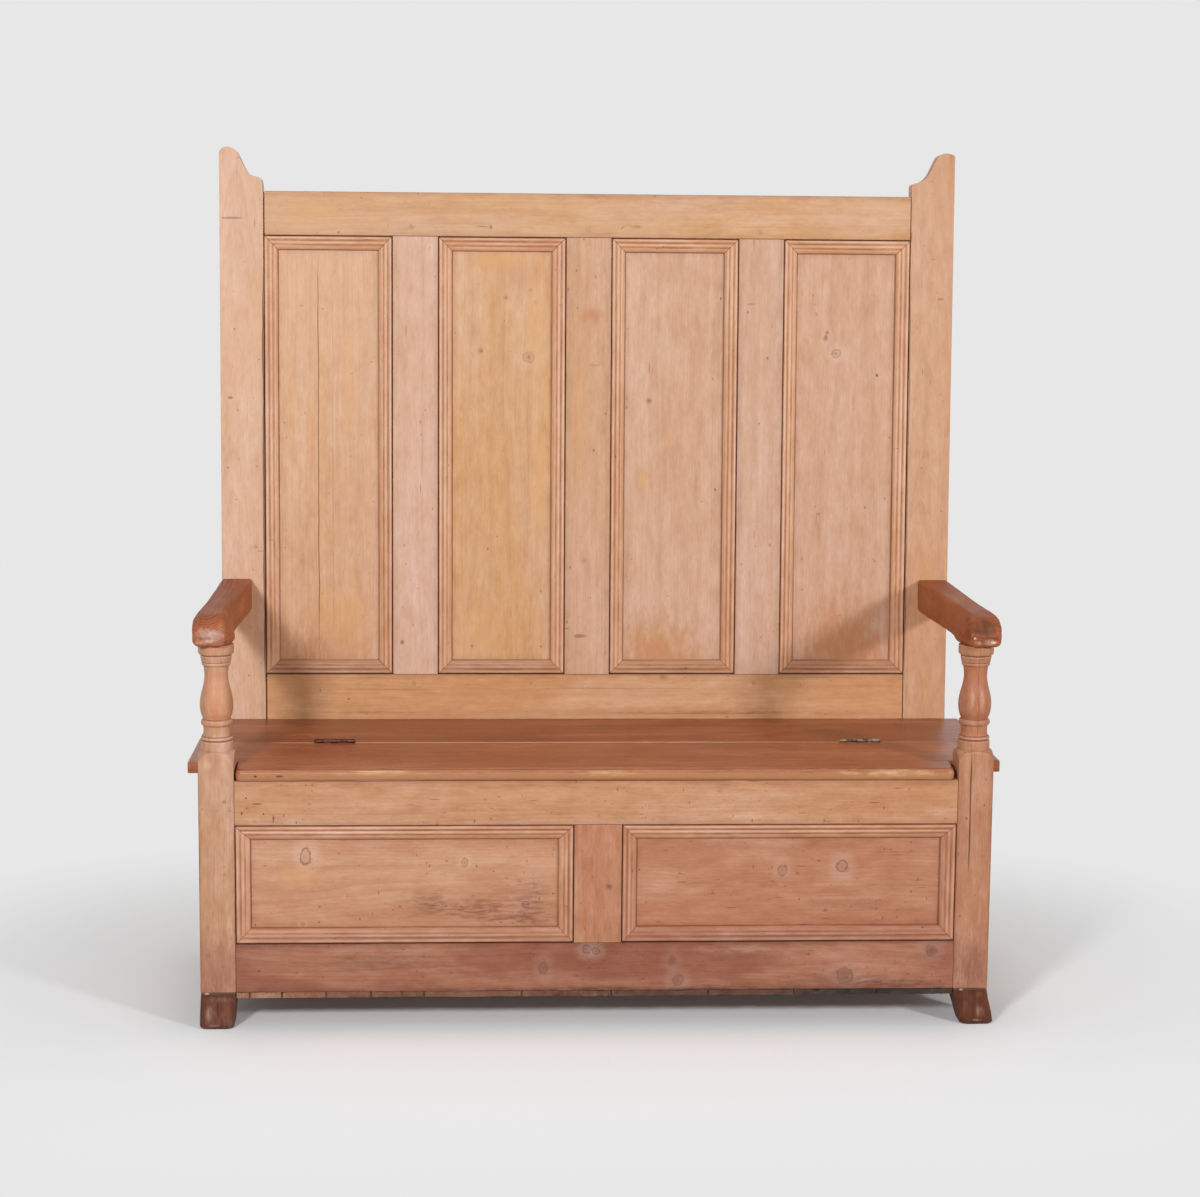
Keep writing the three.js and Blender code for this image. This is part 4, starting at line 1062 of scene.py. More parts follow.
# Floor boards side by side, each as wide and long as its point says, ragged along the front
def makeFloorTree():
    tree, given = newTree("floor boards", "GeometryNodeTree", {
        "Points": "mesh", "Thickness": "value", "Gap": "value", "Ragged": "value", "Seed": "value",
        "Material": "material"}, {"Mesh": "mesh"})
    board = addNode(tree, "GeometryNodeMeshCube", {
        "Size": (1.0, 1.0, 1.0), "Vertices X": 34, "Vertices Y": 6, "Vertices Z": 3}).outputs["Mesh"]
    local = separate(tree.nodes.new("GeometryNodeInputPosition").outputs[0])
    # a board is a cube here, so its front end lies at -0.5
    front = calc("LESS_THAN", local[1], -0.4)
    stored = feed("GeometryNodeStoreNamedAttribute", {
        "Geometry": board, "Name": "front", "Value": front}, data_type="FLOAT", domain="POINT")
    size = combine(readColumn(tree, "wide") - given["Gap"], readColumn(tree, "long"), given["Thickness"])
    spread = feed("GeometryNodeInstanceOnPoints", {
        "Points": given["Points"], "Instance": stored, "Scale": size})
    real = feed("GeometryNodeRealizeInstances", {"Geometry": spread})
    place = tree.nodes.new("GeometryNodeInputPosition").outputs[0]
    spot = vectorCalc("ADD", place, combine(given["Seed"], given["Seed"], 0.0))
    coarse = noiseValue(spot, (22.0, 0.0, 30.0), 4.0, 0.7)
    bite = remap(coarse, 0.42, 0.75) * given["Ragged"]
    # the boards' undersides are uneven along the front, and their faces stay level
    lift = (noiseValue(spot, (60.0, 0.0, 0.0), 3.0) - 0.5) * 0.004
    low = calc("LESS_THAN", separate(place)[2], 0.060 + given["Thickness"] * 0.3)
    shift = combine(0.0, bite, calc("ABSOLUTE", lift) * low)
    shift = vectorCalc("MULTIPLY", shift, combine(1.0, readColumn(tree, "front"), readColumn(tree, "front")))
    ragged = feed("GeometryNodeSetPosition", {"Geometry": real, "Offset": shift})
    return closeTree(tree, ragged, given["Material"])


turningTree = makeTurningTree()
stripTree = makeStripTree()
headTree = makeHeadTree()
floorTree = makeFloorTree()


def roomsFor(node, neighbours):
    # the mortises and grooves in a node, from what its neighbours push into it
    play, thin, through = 0.0003, 0.001, 0.01
    low, high = nodeBox(node)
    middle = (low + high) / 2
    rooms = []
    for neighbour in neighbours:
        inside = [corner.co for corner in cad[neighbour].data.vertices
                  if all(low[i] < corner.co[i] < high[i] for i in range(3))]
        start = Vector([min(p[i] for p in inside) - play for i in range(3)])
        end = Vector([max(p[i] for p in inside) + play for i in range(3)])
        other = sum(nodeBox(neighbour), Vector()) / 2
        for i in range(3):
            if end[i] - start[i] < thin and other[i] > middle[i]:
                end[i] = high[i] + through
            elif end[i] - start[i] < thin:
                start[i] = low[i] - through
        rooms.append((start, end))
    return rooms


# Front legs with their turned posts, in millimetres: height over the floor and radius
legValues = {
    "half": 707, "width": 66, "arris": 2.0, "sides": 72, "foot": 72.3, "shoulder": 492, "curl": 522,
    "curlParts": 12, "tenon": 12, "tenonLength": 28, "beyond": 4,
    # the stick that is turned ends here, and hollows and high places are marked over these heights
    "stick": 760, "ringAt": 488, "markedOver": 520,
    "looks": {"light": (210, 164, 132), "dark": (184, 134, 102), "patch": (198, 146, 112),
              "heart": (0, 0.02, 0.05), "shaped": True, "mottling": 1.7, "flecks": 2.2},
    "turning": [
        (528, 29.9), (543, 29.6), (545, 28.8), (546, 27), (547, 27.2), (548, 28.6), (550, 29.4), (552, 28.9),
        (553.2, 27.4), (554, 25.6), (558, 24.9), (564, 24.5), (570, 24.8), (574, 25.6), (574.6, 27),
        (576, 28.3), (579.5, 29.2), (583, 28.5), (584.8, 27), (586, 25.2), (588, 25.6), (592, 27.4),
        (597, 29), (603, 30.1), (610, 30.8), (618, 30.6), (626, 29.6), (634, 28), (642, 25.9),
        (650, 23.9), (658, 22.4), (667, 21.6), (676, 22.1), (683, 23.1), (686.2, 23.9), (686.6, 25.4),
        (688.5, 26.5), (691, 26.6), (692.5, 25.9), (693.2, 26.9), (698, 27.9), (703.5, 28.8),
        (704.6, 28.2), (705.2, 27), (706.4, 27), (706.8, 29.6), (708, 31.6), (711, 32.9), (720, 33),
        (725.7, 32.6),
    ],
    # heights of the turning's grooves, darkened with rings of dirt and painted shade
    "dark": [545.5, 547.2, 553.6, 574.3, 585.8, 686.4, 692.9, 705.3],
    "left": {
        "tone": (0.867, 0.825, 0.805), "grime": (138, 80, 54),
        "blots": [(-723, 505, 12, 16, 0.9, "pale", 0.5), (-692, 435, 5, 5, 0.4, "grey", 0.5),
                  (-740, 330, 3, 190, 0.9, "red", 0.9), (-675, 180, 2.4, 110, 0.9, "brown", 0.6),
                  (-698, 122, 5, 6, 0.7, "brown", 0.5), (-724, 143, 9, 11, 1.0, "grey", 0.5),
                  (-700, 160, 5, 14, 0.9, "red", 0.5), (-736, 150, 5, 40, 1.0, "red", 0.45),
                  (-734, 108, 7, 12, 0.9, "brown", 0.45), (-718, 178, 10, 10, 1.0, "ash", 0.4),
                  (-712, 90, 46, 36, 1.0, "plum", 0.8), (-707, 116, 80, 100, 1.0, "rose", 0.75),
                  (-707, 720, 26, 14, 0.9, "orange", 0.35), (-707, 672, 34, 16, 1.0, "orange", 0.4),
                  (-707, 620, 60, 90, 1.0, "orange", 0.45), (-700, 590, 20, 10, 0.9, "rust", 0.3)],
        "knots": [(-727, 142, 6, 0.5)],
        "splits": [(-729, 620, 60, 0.8, "brown", 0.3)],
    },
    "right": {
        "tone": (0.79, 0.67, 0.63), "grime": (132, 70, 44),
        # the quirk bands at 592 and 724 are dirt with painted shade in the turning
        "blots": [(707, 96, 40, 34, 1.0, "plum", 0.7), (677, 332, 3, 5, 0.5, "grey", 0.6),
                  (740, 270, 3, 210, 0.9, "brown", 0.9), (676, 250, 3, 160, 0.9, "red", 0.5),
                  (707, 110, 80, 100, 1.0, "rose", 0.7), (707, 120, 60, 70, 1.0, "plum", 0.6),
                  (700, 300, 30, 150, 1.0, "red", 0.2), (707, 562, 60, 13, 0.9, "rust", 0.6),
                  (707, 676, 60, 20, 1.0, "rust", 0.45), (707, 592, 60, 9, 0.8, "quirk", 0.35),
                  (707, 640, 60, 90, 1.0, "rust", 0.5), (707, 620, 60, 110, 1.0, "red", 0.45),
                  (700, 724, 24, 12, 0.9, "quirk", 0.4), (697, 628, 5, 24, 0.9, "pale", 0.5),
                  (716, 622, 6, 26, 0.9, "pale", 0.55), (728, 210, 8, 60, 1.0, "red", 0.4),
                  (684, 180, 9, 30, 1.0, "ash", 0.4)],
        "splits": [(698, 410, 124, 2.4, "hole", 0.85), (709, 640, 96, 1.1, "hole", 0.5),
                   (688, 300, 40, 0.8, "brown", 0.4)],
    },
}


def turningProfile(values):
    corner = values["width"] / 2 * math.sqrt(2) + values["beyond"]
    start, end = (values["shoulder"], corner), values["turning"][0]
    bend = (values["curl"], corner - values["beyond"])
    shoulder = []
    for i in range(1, values["curlParts"]):
        t = i / values["curlParts"]
        shares = ((1 - t) ** 2, 2 * t * (1 - t), t * t)
        shoulder.append(tuple(sum(share * at for share, at in zip(shares, column))
                              for column in zip(start, bend, end)))
    turned = smooth(values["turning"], 3)
    low = [(values["foot"], corner), start]
    top = [(turned[-1][0] + up, values["tenon"]) for up in (0.01, values["tenonLength"])]
    return low + shoulder + turned + top


def makeLeg(side, name):
    node = f"front_leg_{name}"
    values = legValues
    centre = benchPoint(side * values["half"], values["width"] / 2, 0)
    profile = turningProfile(values)
    mesh = pointMesh(name, [(0, 0, z / 1000) for z, _ in profile],
                     [(i, i + 1) for i in range(len(profile) - 1)], reach=[r / 1000 for _, r in profile])
    board = Board("upright", level, *nodeBox(node))
    looks = {**values["looks"], **values[name]}
    # dirt and painted shade in the turning's grooves
    looks["blots"] = looks["blots"] + [
        (side * values["half"], z, 60, 1.2, 0.6, "quirk", 0.55) for z in values["dark"]]
    material = makePine(f"leg{name.title()}", "pale_pine", board, seeds.uniform(0, 20), **looks)
    width = values["width"] / 1000
    made = runTree(pieceName(node), turningTree, mesh, {
        "Sides": values["sides"], "Width": width, "Depth": width, "Arris": values["arris"] / 1000,
        "Low": values["foot"] / 1000, "High": values["stick"] / 1000, "Material": material})
    made.data.transform(Matrix.Translation(centre))
    rails = ["front_top_rail", "front_bottom_rail", f"front_panel_{name}", f"end_board_{name}"]
    carve(made, linked("rooms", blockMesh(roomsFor(node, rails))))
    mesh = meshOf(made)
    bmesh.ops.bisect_plane(mesh, geom=mesh.verts[:] + mesh.edges[:] + mesh.faces[:],
                           plane_co=(0, 0, values["ringAt"] / 1000), plane_no=(0, 0, 1))
    mesh.to_mesh(made.data)
    mesh.free()
    finishPiece(markShape(sharpen(made), values["markedOver"] / 1000), material, [node])


# Feet: shares of the foot's height, of its splay and of its half width, and its corners' radius
footValues = {
    "height": 72, "width": 66, "corner": 9, "splay": {"left": 4, "right": 15},
    "wear": 0.0007, "wearSize": 0.02,
    "sections": [(0, 1, 0.86, 1.5), (0.015, 1, 0.915, 1.45), (0.05, 1, 0.96, 1.3), (0.3, 0.74, 0.99, 1),
                 (0.7, 0.24, 1, 0.8), (1, 0, 0.985, 0.6)],
    # the dark band at the bottom of each foot is painted shadow where it meets the floor
    "left": {
        "tone": (0.61, 0.47, 0.43),
        "blots": [(-728, 70, 6, 3, 0.7, "pale", 0.55), (-724, 30, 12, 22, 1.0, "ash", 0.55),
                  (-694, 34, 14, 22, 1.0, "brown", 0.7), (-706, 58, 34, 8, 1.0, "ash", 0.3),
                  (-700, 4, 40, 7, 0.9, "hole", 0.55), (-716, 8, 14, 3, 0.9, "ash", 0.7)],
    },
    "right": {
        "tone": (0.565, 0.42, 0.325),
        "blots": [(690, 69, 5, 3, 0.7, "pale", 0.4), (724, 60, 10, 8, 0.9, "brown", 0.5),
                  (726, 26, 12, 16, 1.0, "ash", 0.45), (700, 34, 10, 22, 1.0, "brown", 0.6),
                  (716, 4, 40, 7, 0.9, "hole", 0.55), (722, 9, 12, 3, 0.9, "ash", 0.6)],
    },
}


def roundedRing(x0, x1, y0, y1, high, low, steps, between):
    # round from the right-hand side, with the radius of the corners above and of those below
    corners = [(x1 - high, y1 - high, high), (x0 + high, y1 - high, high),
               (x0 + low, y0 + low, low), (x1 - low, y0 + low, low)]
    arcs = []
    for quarter, (x, y, radius) in enumerate(corners):
        angles = [(quarter + i / steps) * math.pi / 2 for i in range(steps + 1)]
        arcs.append([(x + radius * math.cos(a), y + radius * math.sin(a)) for a in angles])
    points = []
    for i, arc in enumerate(arcs):
        points += arc
        start, end = Vector(arc[-1]), Vector(arcs[(i + 1) % 4][0])
        points += [tuple(start.lerp(end, (j + 1) / (between + 1))) for j in range(between)]
    return points


def makeFoot(side, name):
    node = f"foot_{name}"
    values = footValues
    rings = []
    for height, splay, share, corner in smooth(values["sections"], 5):
        middle = side * (legValues["half"] + splay * values["splay"][name])
        half = share * values["width"] / 2
        radius = corner * values["corner"]
        deep = values["width"] / 2
        rings.append([benchPoint(x, y, height * values["height"]) for x, y in roundedRing(
            middle - half, middle + half, deep - half, deep + half, radius, radius, 5, 4)])
    mesh = loft(rings)
    mesh.normal_update()
    wear(mesh, values["wear"], values["wearSize"], side)
    for corner in mesh.verts:
        corner.co.z = max(corner.co.z, 0)
    board = Board("upright", level, *nodeBox(node))
    made = linked(pieceName(node), mesh, 50)
    material = makePine(made.name, "foot_wood", board, seeds.uniform(0, 20), shaped=True, **values[name])
    finishPiece(markShape(made), material, [node])


# Arms: shares of the length, of the half width out, in below and in above, of the thickness
# at the top and the bottom, and of the upper corners' radius
armValues = {
    "thickness": 56, "overhang": 17.3, "depth": 508, "halfWidth": 40, "underside": 726, "corner": 14,
    "lowCorner": 4, "lowRound": 8, "middle": 707, "wear": 0.0008, "knob": 60,
    "lumps": {"left": 1.4, "right": 3.0},
    "play": 0.15, "backGap": 0.3, "lowRoundTo": 0.15, "wearSize": 0.035, "lumpSize": 0.011, "lumpFade": 0.03,
    # the hole for the post's tenon, and the arm's own tenon into the back
    "bore": {"radius": 12.3, "depth": 34.6, "y": 33, "middle": 737.3},
    "tenon": {"halfWidth": 15, "y": (500, 534), "z": (737, 771)},
    "sections": [
        (0, 0.76, 0.38, 0.34, 0.36, 0.14, 0.4), (0.004, 0.87, 0.51, 0.45, 0.5, 0.05, 0.6),
        (0.012, 0.95, 0.57, 0.49, 0.64, 0.01, 0.8), (0.026, 0.99, 0.63, 0.52, 0.79, 0, 0.95),
        (0.046, 1.01, 0.68, 0.52, 0.91, 0, 1), (0.076, 1.01, 0.74, 0.49, 0.98, 0, 1),
        (0.12, 0.98, 0.79, 0.43, 1.01, 0, 0.95), (0.17, 0.95, 0.79, 0.4, 1.01, 0, 0.85),
        (0.25, 0.91, 0.66, 0.39, 1, -0.03, 0.7), (0.35, 0.87, 0.54, 0.41, 1, -0.06, 0.6),
        (0.5, 0.83, 0.5, 0.48, 1, -0.09, 0.5), (0.72, 0.82, 0.58, 0.58, 1, -0.12, 0.42),
        (0.9, 0.83, 0.65, 0.66, 1, -0.14, 0.4), (1.04, 0.84, 0.68, 0.7, 1, -0.14, 0.4),
    ],
    "left": {
        "heart": (0, 0.004, 0.05), "ringWidth": 0.0042, "contrast": 1.0, "tone": (0.95, 0.61, 0.43),
        "light": (196, 142, 110), "dark": (106, 58, 38), "patch": (160, 104, 76),
        "blots": [(-712, -17, 34, 10, 0.7, "ash", 0.35, 748, 18),
                  (-712, -14, 38, 16, 1.0, "ash", 0.95, 748, 24),
                  (-732, -14, 12, 8, 0.9, "pale", 0.7, 735, 5),
                  (-714, -17, 12, 8, 0.9, "pale", 0.6, 738, 4),
                  (-690, -15, 14, 8, 0.9, "hole", 0.5, 737, 6),
                  (-712, -14, 40, 10, 0.9, "brown", 0.6, 729, 4),
                  (-690, 120, 12, 70, 1.0, "brown", 0.45, 752, 20),
                  (-684, 330, 14, 90, 1.0, "orange", 0.5, 750, 24),
                  (-716, 200, 22, 80, 1.0, "ash", 0.3, 782, 10), (-700, 250, 26, 90, 1.0, "brown", 0.3),
                  (-708, 60, 30, 50, 1.0, "orange", 0.3)],
    },
    "right": {
        "heart": (0, -0.02, 0.06), "ringWidth": 0.0040, "contrast": 0.7, "tone": (0.96, 0.65, 0.405),
        "light": (176, 116, 82), "dark": (110, 62, 40), "patch": (148, 90, 60),
        "blots": [(684, 20, 7, 10, 0.7, "hole", 0.9, 776, 8), (693, 12, 6, 7, 0.7, "hole", 0.8, 782, 6),
                  (712, -4, 46, 36, 1.0, "mud", 1.0, 758, 36),
                  (690, 70, 12, 40, 1.0, "brown", 0.6, 756, 24),
                  (686, 150, 10, 16, 0.9, "brown", 0.5, 760, 18),
                  (724, -17, 18, 8, 0.9, "ash", 0.9, 736, 8), (730, -17, 8, 6, 0.6, "pale", 0.9, 736, 3),
                  (694, -16, 4, 5, 0.5, "pale", 0.7, 744, 3), (700, -17, 10, 6, 0.9, "pale", 0.6, 735, 5),
                  (704, 240, 26, 100, 1.0, "orange", 0.4), (684, 420, 20, 150, 1.0, "tan", 0.45, 750, 40)],
    },
}


def makeArm(side, name):
    node = f"arm_{name}"
    values = armValues
    rings = []
    for along, outer, innerLow, innerTop, top, bottom, corner in smooth(values["sections"], 5):
        y = along * (values["depth"] + values["overhang"]) - values["overhang"]
        low = values["underside"] + bottom * values["thickness"] + values["play"]
        high = values["underside"] + top * values["thickness"]
        width = (innerLow + outer) * values["halfWidth"]
        lean = (innerLow - innerTop) * values["halfWidth"] / width
        lowCorner = values["lowCorner"] + values["lowRound"] * max(0, 1 - along / values["lowRoundTo"])
        ring = []
        for across, z in roundedRing(0, width, low, high, corner * values["corner"], lowCorner, 7, 8):
            up = (z - low) / (high - low)
            out = across + (width - across) * lean * up * up - innerLow * values["halfWidth"]
            ring.append(benchPoint(side * (values["middle"] + out), y, z))
        rings.append(ring)
    mesh = loft(rings)
    mesh.normal_update()
    wear(mesh, values["wear"], values["wearSize"], side)
    mesh.normal_update()
    end = benchPoint(0, values["knob"], 0).y
    for corner in mesh.verts:
        lump = max(0, noise.noise(corner.co / values["lumpSize"] + Vector((side, 3, 1))) + 0.15)
        fade = min(1, max(0, (end - corner.co.y) / values["lumpFade"]))
        corner.co -= corner.normal * (lump * values["lumps"][name] / 1000) * fade
    away = leanMatrix.to_3x3() @ Vector((0, 1, 0))
    face = leanMatrix @ Vector((0, -values["backGap"] / 1000, 0))
    whole = bmesh.ops.bisect_plane(mesh, geom=mesh.verts[:] + mesh.edges[:] + mesh.faces[:],
                                   plane_co=face, plane_no=away, clear_outer=True)
    cutEdges = [item for item in whole["geom_cut"] if isinstance(item, bmesh.types.BMEdge)]
    bmesh.ops.edgeloop_fill(mesh, edges=cutEdges)
    bmesh.ops.recalc_face_normals(mesh, faces=mesh.faces)
    made = linked(pieceName(node), mesh, 45)
    bore, middle = values["bore"], side * values["middle"]
    hole = cylinder(bore["radius"] / 1000, bore["depth"] / 1000, 40)
    bmesh.ops.translate(hole, verts=hole.verts, vec=benchPoint(middle, bore["y"], bore["middle"]))
    carve(made, linked("bore", hole))
    tenon = [benchPoint(middle + way * values["tenon"]["halfWidth"], y, z)
             for way, y, z in zip((-1, 1), values["tenon"]["y"], values["tenon"]["z"])]
    carve(made, linked("tenon", blockMesh([tenon])), "UNION")
    board = Board("back", level, *nodeBox(node))
    material = makePine(made.name, "arm_wood", board, seeds.uniform(0, 20), shaped=True, **values[name])
    finishPiece(markShape(sharpen(made, 45)), material, [node])


for side, name in ((-1, "left"), (1, "right")):
    makeLeg(side, name)
    makeFoot(side, name)
    makeArm(side, name)
print("legs, feet and arms ready")


# Mouldings, each strip a section swept between two mitres
def mouldingSection(values):
    sunk = values["sunk"] / values["height"]
    points = [(0, sunk), *smooth(values["section"], 3), (1, sunk)]
    return [(u * values["width"] / 1000, h * values["height"] / 1000) for u, h in points]


def makeStrip(node, number):
    values = mouldingValues
    side = node.rsplit("_", 1)[1]
    lean = leanMatrix if node.startswith("back") else level
    way = "across" if side in ("top", "bottom") else "upright"
    low, high = nodeBox(node, lean)
    board = Board(way, lean, low, high)
    length = 2 * board.half[0] + 2 * values["mitreGap"] / 1000
    section = mouldingSection(values)
    count = len(section)
    # the sweep lays the section's x and y on the strip's -y and -z
    mesh = pointMesh(node, [(-u, -h, 0) for u, h in section], [(i, (i + 1) % count) for i in range(count)])
    flip = -1 if side in ("top", "left") else 1
    looks = {"side": -flip, "shaped": True, "tone": values["tones"].get(node, (1, 1, 1))}
    if node.startswith("front"):
        looks.update(values["frontLooks"])
    material = makePine(pieceName(node), "moulding_pine", board, seeds.uniform(0, 20), **looks)
    made = runTree(pieceName(node), stripTree, mesh, {
        "Length": length, "Parts": values["parts"], "Mitre gap": values["mitreGap"] / 1000,
        "Wear": values["wear"] / 1000, "Seed": number * values["seedStep"], "Material": material})
    # the strip runs along x with its outer edge at y 0; its back goes to the panel's face
    axes = board.axes
    outward = axes[1] * -flip
    across = outward * -1
    start = board.centre + outward * board.half[1] - axes[2] * board.half[2]
    start -= axes[2] * (values["sunk"] / 1000)
    turn = Matrix((axes[0], across, axes[2])).transposed().to_4x4()
    made.data.transform(Matrix.Translation(start) @ turn)
    if turn.determinant() > 0:
        made.data.flip_normals()
    finishPiece(markShape(sharpen(made, 30)), material, [node])


for number, node in enumerate(sorted(node for node in cad if "moulding" in node)):
    makeStrip(node, number)
print("mouldings ready")


# Seat: two boards from their outlines, with the lid's front edge worn to a round nose
seatValues = {
    "end": 766, "top": 496, "bottom": 474, "notch": 72, "nose": -6, "left": -671, "right": 666.5,
    "corner": 11,
    "lidBack": 255.25, "boardFront": 256.75, "boardBack": 506.4, "joint": 256, "step": 16,
    "round": 8.5, "under": 0.7, "arris": 1.7, "turns": 5, "runOut": 30, "wear": 0.0006,
    "hinge": {"length": 76, "leaf": 20, "thick": 2.2, "knuckle": 4.2, "head": 1.6, "room": 0.6, "pin": 498.8,
              "places": [-501, 526], "play": 0.3, "halfJoint": 0.75, "above": 4,
              "screws": [(-28, 484), (-10, 489), (10, 484), (28, 489)]},
}
seatLooks = {
    "lid": {
        "heart": (0, 0.03, 0.06), "tone": (0.96, 0.765, 0.60),
        "knots": [(60, 110, 9, 0.5), (330, 130, 10, 0.5)],
        # on the nose, straw patches on the upper arris are wear with a painted highlight, and the red band
        # low down is painted shade under the nose
        "blots": [(0, -6, 1600, 9, 0.6, "edge", 0.85, 482, 12.5), (-420, 20, 60, 3, 0.7, "pale", 0.4),
                  (560, -3, 130, 9, 0.9, "straw", 0.7, 488, 8), (20, -3, 90, 9, 0.9, "straw", 0.5, 489, 7),
                  (-400, -3, 120, 9, 0.9, "straw", 0.4, 489, 7),
                  (250, 0, 110, 12, 0.9, "brown", 0.4, 492, 6), (-150, 0, 50, 8, 0.9, "dirt", 0.6, 493, 5),
                  (-520, 0, 60, 8, 0.9, "brown", 0.5, 493, 5), (-634, -6, 3, 9, 0.3, "hole", 0.9, 484, 2.5),
                  (-590, -6, 9, 9, 0.5, "hole", 0.75, 484, 2.5), (-60, -6, 700, 6, 0.7, "red", 0.6, 476, 5),
                  (0, 8, 640, 9, 0.9, "honey", 0.35), (-300, 90, 300, 30, 1.0, "red", 0.3),
                  (320, 180, 320, 30, 1.0, "red", 0.3), (120, 60, 200, 12, 1.0, "honey", 0.25),
                  (-60, 253, 700, 3, 0.5, "pale", 0.5)],
        "splits": [(-630, 173, 66, 1.4, "hole", 0.6), (-404, -4, 60, 1.2, "pale", 0.6)],
    },
    "seat_rear_board": {
        "tone": (1.03, 0.82, 0.665), "light": (160, 102, 70), "dark": (130, 74, 50), "patch": (142, 84, 56),
        "blots": [(-60, 259, 700, 2.6, 0.5, "pale", 0.4), (0, 498, 660, 7, 0.9, "brown", 0.5),
                  (-250, 380, 340, 34, 1.0, "red", 0.35), (635, 433, 16, 3, 0.6, "hole", 0.5)],
        "splits": [(560, 330, 90, 1.0, "brown", 0.4)],
    },
}


def divided(outline, step):
    # the outline with its long sides in short lengths, so that wear can move them
    points = []
    for (x0, y0), (x1, y1) in zip(outline, outline[1:] + outline[:1]):
        count = max(1, round(math.dist((x0, y0), (x1, y1)) / step))
        points += [(x0 + (x1 - x0) * i / count, y0 + (y1 - y0) * i / count) for i in range(count)]
    return points


def seatBoard(node, name, outline, roundFront):
    # rings of the outline from the bottom up, drawn in towards both faces by the round of the edge
    values = seatValues
    points = [Vector(point) for point in divided(outline, values["step"])]
    front = values["nose"] + values["corner"]
    ways, rounds = [], []
    for i, point in enumerate(points):
        first = (point - points[i - 1]).normalized()
        second = (points[(i + 1) % len(points)] - point).normalized()
        first, second = Vector((-first.y, first.x)), Vector((-second.y, second.x))
        ways.append((first + second) / (1 + first.dot(second)))
        share = max(0, 1 - max(0, point.y - front) / values["runOut"]) if roundFront else 0
        rounds.append(values["arris"] + (values["round"] - values["arris"]) * share)
    angles = [i / values["turns"] * math.pi / 2 for i in range(values["turns"] + 1)]
    steps = [(values["bottom"], values["under"], 1 - math.sin(a), 1 - math.cos(a)) for a in angles]
    steps += [(values["top"], 1, 1 - math.cos(a), math.sin(a) - 1) for a in angles]
    rings = []
    for face, share, inward, up in steps:
        ring = []
        for point, way, size in zip(points, ways, rounds):
            at = point + way * (size * share) * inward
            ring.append(benchPoint(at.x, at.y, face + size * share * up))
        rings.append(ring)
    mesh = loft(rings)
    mesh.normal_update()
    for corner in mesh.verts:
        away = noise.noise(corner.co / 0.045) + 0.5 * noise.noise(corner.co / 0.015)
        corner.co -= corner.normal * max(0, away) * values["wear"]
    made = linked(name, mesh)
    hinge = values["hinge"]
    for x in hinge["places"]:
        reach = hinge["length"] / 2 + hinge["play"]
        deep = hinge["halfJoint"] + hinge["thick"] + hinge["play"]
        low = benchPoint(x - reach, values["joint"] - deep, hinge["pin"] - hinge["leaf"] - hinge["play"])
        high = benchPoint(x + reach, values["joint"] + deep, hinge["pin"] + hinge["above"])
        room = hinge["knuckle"] + hinge["room"]
        long = reach + hinge["head"] + hinge["room"]
        carve(made, linked("leafRoom", blockMesh([(low, high)])))
        place = Matrix.Translation(benchPoint(x, values["joint"], hinge["pin"]))
        barrel = cylinder(room / 1000, 2 * long / 1000, 24, place @ Matrix.Rotation(math.pi / 2, 4, "Y"))
        carve(made, linked("barrelRoom", barrel))
    board = Board("flat", level, *nodeBox(node))
    material = makePine(made.name, "seat_pine", board, seeds.uniform(0, 20), **seatLooks[node])
    finishPiece(sharpen(made), material, [node])


def lidOutline(values):
    left, right, nose, corner = values["left"], values["right"], values["nose"], values["corner"]
    arcs = []
    for x, turn in ((left + corner, math.pi), (right - corner, 1.5 * math.pi)):
        angles = [turn + i / 6 * math.pi / 2 for i in range(7)]
        arcs.append([(x + corner * math.cos(a), nose + corner + corner * math.sin(a)) for a in angles])
    return (arcs[0] + arcs[1] + [(right, values["notch"]), (values["end"], values["notch"]),
            (values["end"], values["lidBack"]), (-values["end"], values["lidBack"]),
            (-values["end"], values["notch"]), (left, values["notch"])])


seatBoard("lid", "lidBoard", lidOutline(seatValues), True)
seatBoard("seat_rear_board", "seatRearBoard", [
    (-seatValues["end"], seatValues["boardFront"]), (seatValues["end"], seatValues["boardFront"]),
    (seatValues["end"], seatValues["boardBack"]), (-seatValues["end"], seatValues["boardBack"])], False)
print("seat ready")


# Chest floor: boards from front to back over the three solids, broken along the front
floorValues = {
    "front": 1.5, "back": 534, "middle": 66, "thickness": 11.4, "gap": 1.2, "ragged": 9, "seed": 3.1,
    "joints": [-732, -589, -423, -324, -141, 27, 210, 372, 530, 732],
    # room for the front legs and for the stiles, on the right-hand side
    "rooms": [((673.4, -10, 40), (760, 66.6, 90)), ((652.4, 507.4, 40), (760, 560, 90))],
    "cracks": (-649, -589, -507, -423, -365, -324, -141, 27, 210),
    "blots": [(-200, 0, 460, 40, 0.7, "mud", 0.6), (260, 0, 460, 40, 0.7, "hole", 0.7),
              (560, 0, 260, 40, 0.7, "black", 0.95)],
    "looks": {"light": (184, 126, 102), "dark": (120, 74, 58), "patch": (146, 94, 74), "edgeGrime": 0.35,
              "mottling": 2.6},
}


